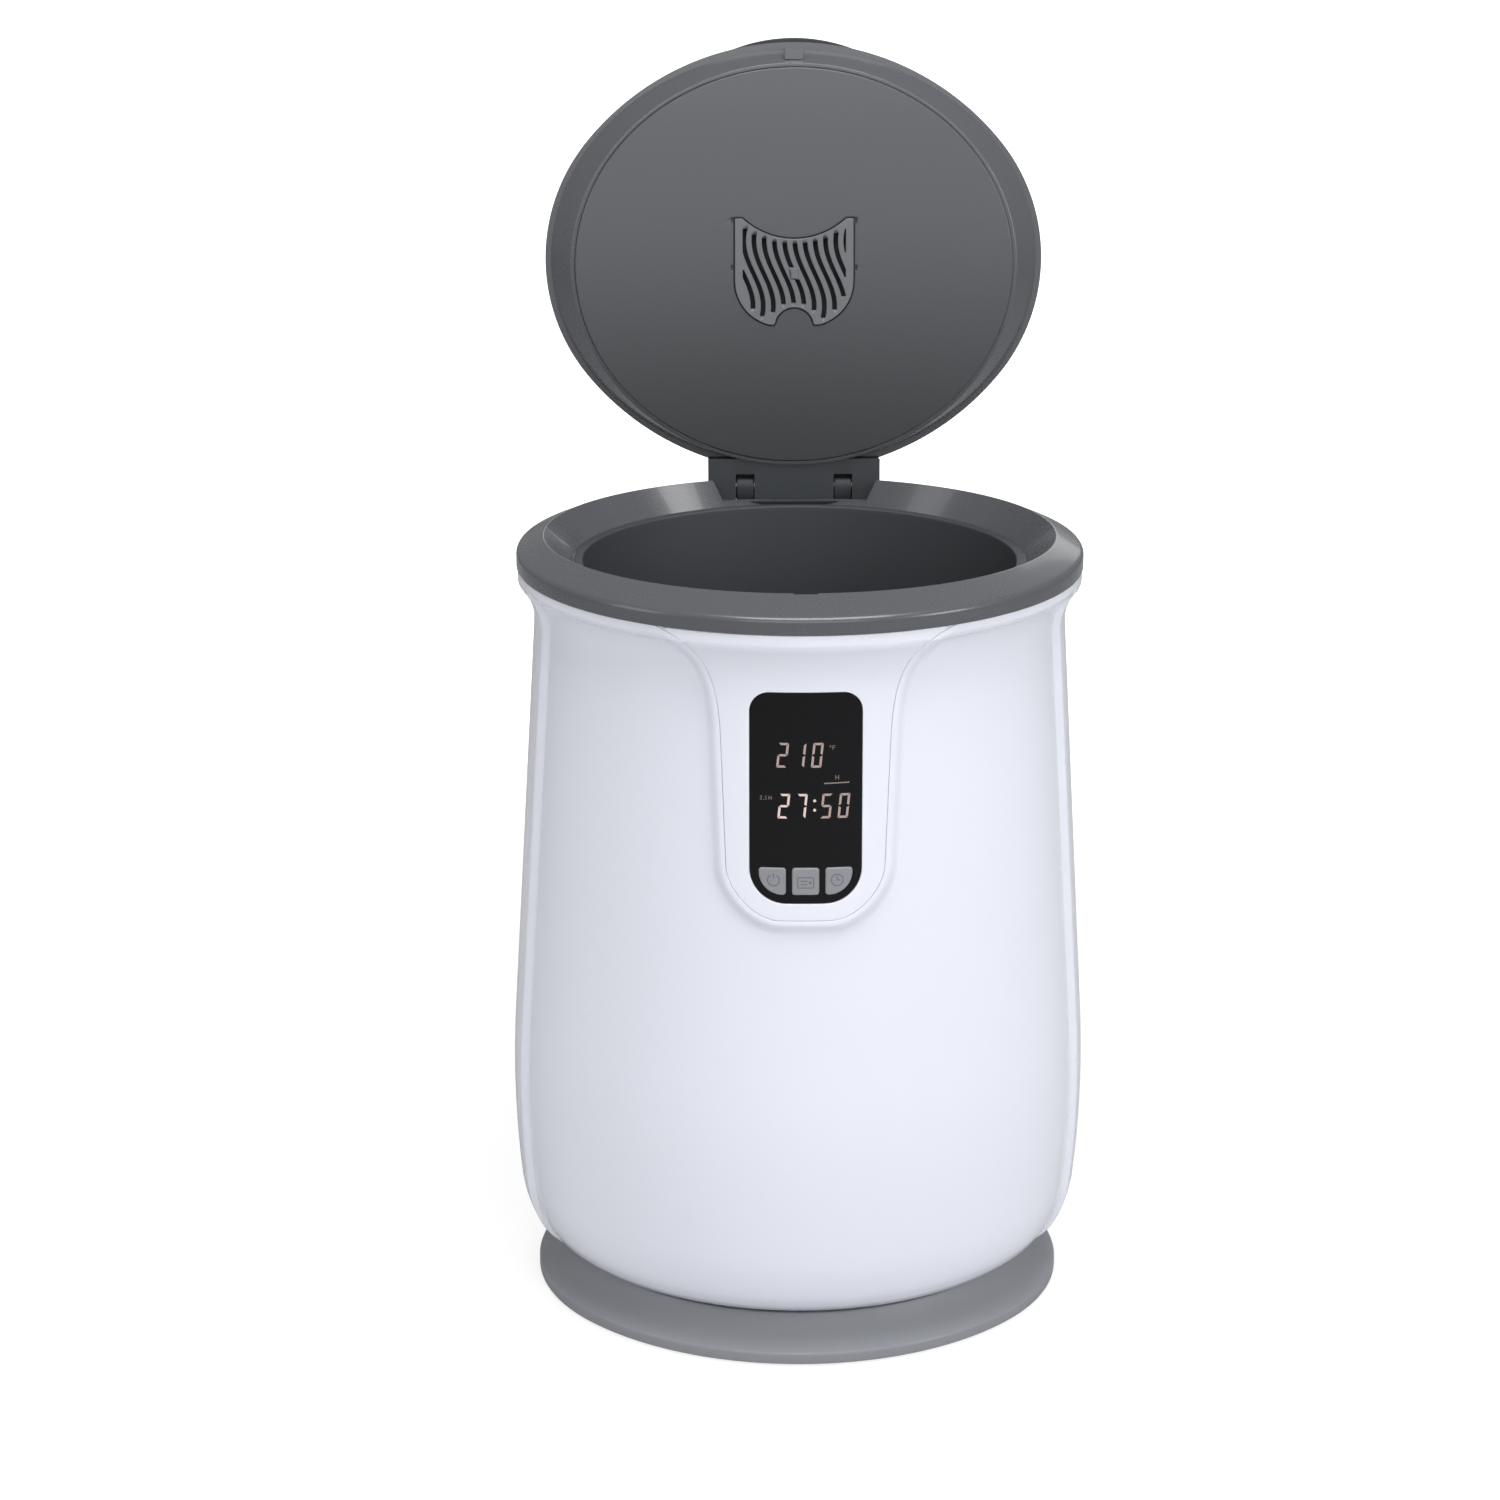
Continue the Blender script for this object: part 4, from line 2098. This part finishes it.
# ---- Lid's shell ----
@dataclass
class Lid:
    """The lid's shell with its skirt, the hinge's flap and the handle's lip.

    Attributes:
        half: Half-width of the lid.
        crown: Height of its top when closed.
        flap: Half-width of the hinge's flap.
        slot_low: Inner side of the slots for the lugs.
        slot_high: Outer side of the slots.
        bottom: Height of the skirt's lower edge when closed.
        wall: Thickness of the skirt.
    """

    half: float = 151.5
    crown: float = 486.1
    flap: float = 52.7
    slot_low: float = 24.3
    slot_high: float = 35.7
    bottom: float = 452.3
    wall: float = 2.5

    def dome(self) -> list[list[Any]]:
        """Levels of the outside, from the crown to the edge.

        Returns:
            Levels as polar() takes them.
        """
        flat, shoulder, drop, patch = 46.0, 142.5, 6.5, 60.0
        radius = ((shoulder - flat) ** 2 + drop**2) / (2 * drop)
        x = np.linspace(flat, shoulder, 24)
        z = self.crown - radius + np.sqrt(radius**2 - (x - flat) ** 2)
        levels: list[list[Any]] = [[self.crown, 18.0 + LID_OVAL.reach, LID_OVAL]]
        levels += [[float(b), float(a), LID_OVAL] for a, b in zip(x, z) if a > patch]
        return levels

    def build(self) -> None:
        """Builds the shell, the flap and the lip."""
        dome = self.dome()
        edge = [
            [z, half, LID_OVAL]
            for z, half in ((477.08, 148.8), (470.6, self.half), (LID_EDGE_Z, self.half))
        ]
        skirt = [
            plug_level(LID_EDGE_Z, 0), plug_level(self.bottom, 0),
            plug_level(self.bottom, self.wall), plug_level(466.85, self.wall),
        ]
        ceiling = [[474.5, 140.0, LID_OVAL], [483.4, 60.0, LID_OVAL]]
        levels = [*dome, *edge, *skirt, *ceiling]
        radii = [*[0.0] * (len(dome) - 1), 1.6, 2.4, 2.0, 1.2, 0.5, 0.6, 0.5, 0.0, 0.0, 0.0]
        mesh = ring_mesh("lid_shell", softened(levels, radii, 5), 360, False)
        places = np.array([v.co for v in mesh.vertices]) / MM
        mesh.vertices.foreach_set("co", (opened(places) * MM).ravel())
        mesh.set_sharp_from_angle(angle=math.radians(38))
        settle(placed("lid_shell", mesh, Finish.GREY), Body.LID, "lid_cover", slot="dark_grey")
        skin = Skin()
        self.hinge(skin)
        self.handle(skin)
        settle(skin.piece("lid_hinge_flap", Finish.FLAP), Body.LID, slot="dark_grey")

    def hinge(self, skin: Skin) -> None:
        """Adds the flap with its two slots.

        Args:
            skin: Takes the faces.
        """
        root, low, high, web = 121.0, 452.5, 471.5, 464.2
        full = rounded((
            (root, low, 0.4), (150.2, low, 1.2), (150.2, 461.5, 2.0), (145.7, 466.5, 2.0),
            (root, high, 0.4),
        ))
        bridge = rounded((
            (root, low, 0.4), (130.7, low, 0.5), (130.7, web, 0.4), (147.4, web, 0.3),
            (145.7, 466.5, 1.0), (root, high, 0.4),
        ))
        lid_bar(skin, full, -self.slot_low, self.slot_low, 0.0)
        for side in (-1, 1):
            lid_bar(skin, bridge, *sorted((side * self.slot_low, side * self.slot_high)), 0.0)
            lid_bar(skin, full, *sorted((side * self.slot_high, side * self.flap)), 0.7)

    def handle(self, skin: Skin) -> None:
        """Adds the lip at the front by which the lid is lifted.

        Args:
            skin: Takes the faces.
        """
        width, root, start, reach = 50.0, 108.0, 120.0, 133.0
        rise = reach - start
        radius = (width**2 + rise**2) / (2 * rise)
        x = np.linspace(width, -width, 60)
        arc = np.column_stack([x, reach - radius + np.sqrt(radius**2 - x**2)])
        outline = spread(np.vstack([arc, [(-width, root), (width, root)]]), 2.0)
        Plate(outline, on_lid(468.85), 3.5, 1.0, (), 6.0).into(skin)


def copy_all(rows: Sequence[tuple[str, str, Finish, Body, str | None]]) -> None:
    """Replaces CAD nodes by merged copies with a finish."""
    for node, name, finish, body, slot in rows:
        settle(copied(node, name, finish), body, node, slot=slot)


def dress(rows: Sequence[tuple[str, Finish]]) -> None:
    """Gives finishes to CAD nodes whose shape stays.

    Args:
        rows: Pairs of a node and its finish.
    """
    for node, finish in rows:
        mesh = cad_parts[node].data
        mesh.materials.clear()
        mesh.materials.append(finish.material())
        log.info("%s: dressed", node)


# ---- Studio ----
@dataclass
class Studio:
    """Floor, lamps, background and camera.

    Attributes:
        place: Where the camera stands, in metres.
        pitch: How far it looks down, in radians.
        heading: How far it turns, in radians.
        lens: Focal length in millimetres.
        sensor: Width of the sensor in millimetres.
        glow: Brightness of the floor where it fades to white.
        ambient: Strength of the even light from all sides.
        mirrored: Strength of the background in reflections.
        aim: Height in metres that the lamps look at.
        lamps: Name, place in metres, width, height and power in watts of each lamp.
    """

    place: tuple[float, float, float] = (-0.0612, -2.2213, 1.0740)
    pitch: float = 0.3225
    heading: float = -0.0145
    lens: float = 94.92
    glow: float = 1.6
    ambient: float = 0.34
    mirrored: float = 0.3
    aim: float = 0.3
    sensor: float = 36.0
    lamps: tuple[tuple[str, tuple[float, float, float], float, float, float], ...] = (
        ("front_softbox", (0.0, -2.9, 1.6), 2.4, 1.3, 22.0),
        ("key_softbox", (2.2, -1.6, 1.35), 0.9, 1.2, 24.0),
        ("left_softbox", (-2.4, -1.2, 1.1), 1.0, 1.6, 10.0),
        ("rear_softbox", (0.5, 2.5, 1.5), 1.6, 1.4, 9.0),
        ("top_softbox", (0.1, -0.5, 2.2), 1.2, 0.8, 25.0),
    )

    def camera(self) -> None:
        """Sets the camera at the photograph's viewing angle."""
        data = bpy.data.cameras.new("camera")
        data.lens, data.sensor_width = self.lens, self.sensor
        camera = linked("camera", data)
        camera.location = self.place
        camera.rotation_euler = (math.pi / 2 - self.pitch, 0, self.heading)
        bpy.context.scene.camera = camera

    def lamp(self, name: str, place: Sequence[float], width: float, height: float, power: float) -> None:
        """Sets a soft rectangular lamp that looks at the object.

        Args:
            name: Name of the lamp.
            place: Where it hangs, in metres.
            width: Its width in metres.
            height: Its height in metres.
            power: Its power in watts.
        """
        data = bpy.data.lights.new(name, "AREA")
        data.shape, data.size, data.size_y, data.energy = "RECTANGLE", width, height, power
        lamp = linked(name, data)
        lamp.location = place
        way = Vector((0, 0, self.aim)) - Vector(place)
        lamp.rotation_euler = way.to_track_quat("-Z", "Y").to_euler()

    def world(self) -> None:
        """White for the camera, with a dimmer light for reflections and for the rest."""
        world = bpy.data.worlds.new("studio")
        bpy.context.scene.world = world
        tree = Tree(world)
        path = tree.node("ShaderNodeLightPath", {}, {})
        seen = path["Is Camera Ray"] + path["Is Transmission Ray"]
        soft, mirrored, white = [
            tree.node("ShaderNodeBackground", {}, {"Color": colour, "Strength": strength})[0]
            for colour, strength in (
                ((0.97, 0.98, 1.0, 1), self.ambient), ((1, 1, 1, 1), self.mirrored), ((1, 1, 1, 1), 1.0),
            )
        ]
        lit = tree.node("ShaderNodeMixShader", {}, {0: path["Is Glossy Ray"], 1: soft, 2: mirrored})
        both = tree.node("ShaderNodeMixShader", {}, {0: seen, 1: lit[0], 2: white})
        tree.node("ShaderNodeOutputWorld", {}, {"Surface": both[0]})

    def floor(self) -> None:
        """A pale floor that keeps the object's shadow and fades to white."""
        mesh = bpy.data.meshes.new("floor")
        reach, level = 30.0, -0.0002
        corners = ((-reach, -reach), (reach, -reach), (reach, reach), (-reach, reach))
        mesh.from_pydata([(*corner, level) for corner in corners], [], [(0, 1, 2, 3)])
        material = bpy.data.materials.new("pale_floor")
        tree = Tree(material)
        path = tree.node("ShaderNodeLightPath", {}, {})
        where = tree.node("ShaderNodeTexCoord", {}, {})["Object"]
        away = tree.node("ShaderNodeVectorMath", {"operation": "LENGTH"}, {0: where})["Value"]
        far = tree.node("ShaderNodeMapRange", {"interpolation_type": "SMOOTHSTEP"}, {
            "Value": away, "From Min": 0.45, "From Max": 1.3, "To Min": 0.5, "To Max": 1.0,
        })["Result"]
        matte = tree.node("ShaderNodeBsdfDiffuse", {}, {"Color": (0.58, 0.58, 0.59, 1)})
        glow = tree.node("ShaderNodeEmission", {}, {"Color": (1, 1, 1, 1), "Strength": self.glow})
        share = path["Is Camera Ray"] * far
        both = tree.node("ShaderNodeMixShader", {}, {0: share, 1: matte[0], 2: glow[0]})
        tree.node("ShaderNodeOutputMaterial", {}, {"Surface": both[0]})
        mesh.materials.append(material)
        linked("floor", mesh)

    def build(self) -> None:
        """Builds the studio."""
        bpy.context.scene.view_settings.view_transform = "Standard"
        self.camera()
        self.world()
        self.floor()
        for row in self.lamps:
            self.lamp(*row)


def main() -> None:
    """Builds every piece in order."""
    logging.basicConfig(level=logging.INFO, format="%(name)s %(message)s")
    controls = Controls()
    Shells(controls=controls).build()
    controls.build()
    Vent().build()
    Rim().build()
    Lid().build()
    Tub().build()
    Foot().build()
    copy_all((
        ("lid_catch", "lid_latch", Finish.GREY, Body.LID, "dark_grey"),
        ("base_plate", "bottom_plate", Finish.BASE, Body.HOUSING, "base_grey"),
        ("cord_gland", "cord_grommet", Finish.RUBBER, Body.HOUSING, None),
    ))
    dress((
        ("rubber_feet", Finish.RUBBER), ("base_screws", Finish.STEEL), ("hinge_pins", Finish.STEEL),
        ("digit_display", Finish.DISPLAY), ("control_board", Finish.BOARD),
        ("tact_switches", Finish.SWITCH), ("heater_band", Finish.FOIL),
        ("insulation_sleeve", Finish.WOOL), ("thermostat", Finish.SENSOR),
        ("thermal_fuse", Finish.STEEL), ("temperature_probe", Finish.STEEL),
        ("power_board", Finish.BOARD), ("power_relay", Finish.RELAY), ("terminal_block", Finish.TERMINAL),
    ))
    Studio().build()


if __name__ == "__main__":
    main()
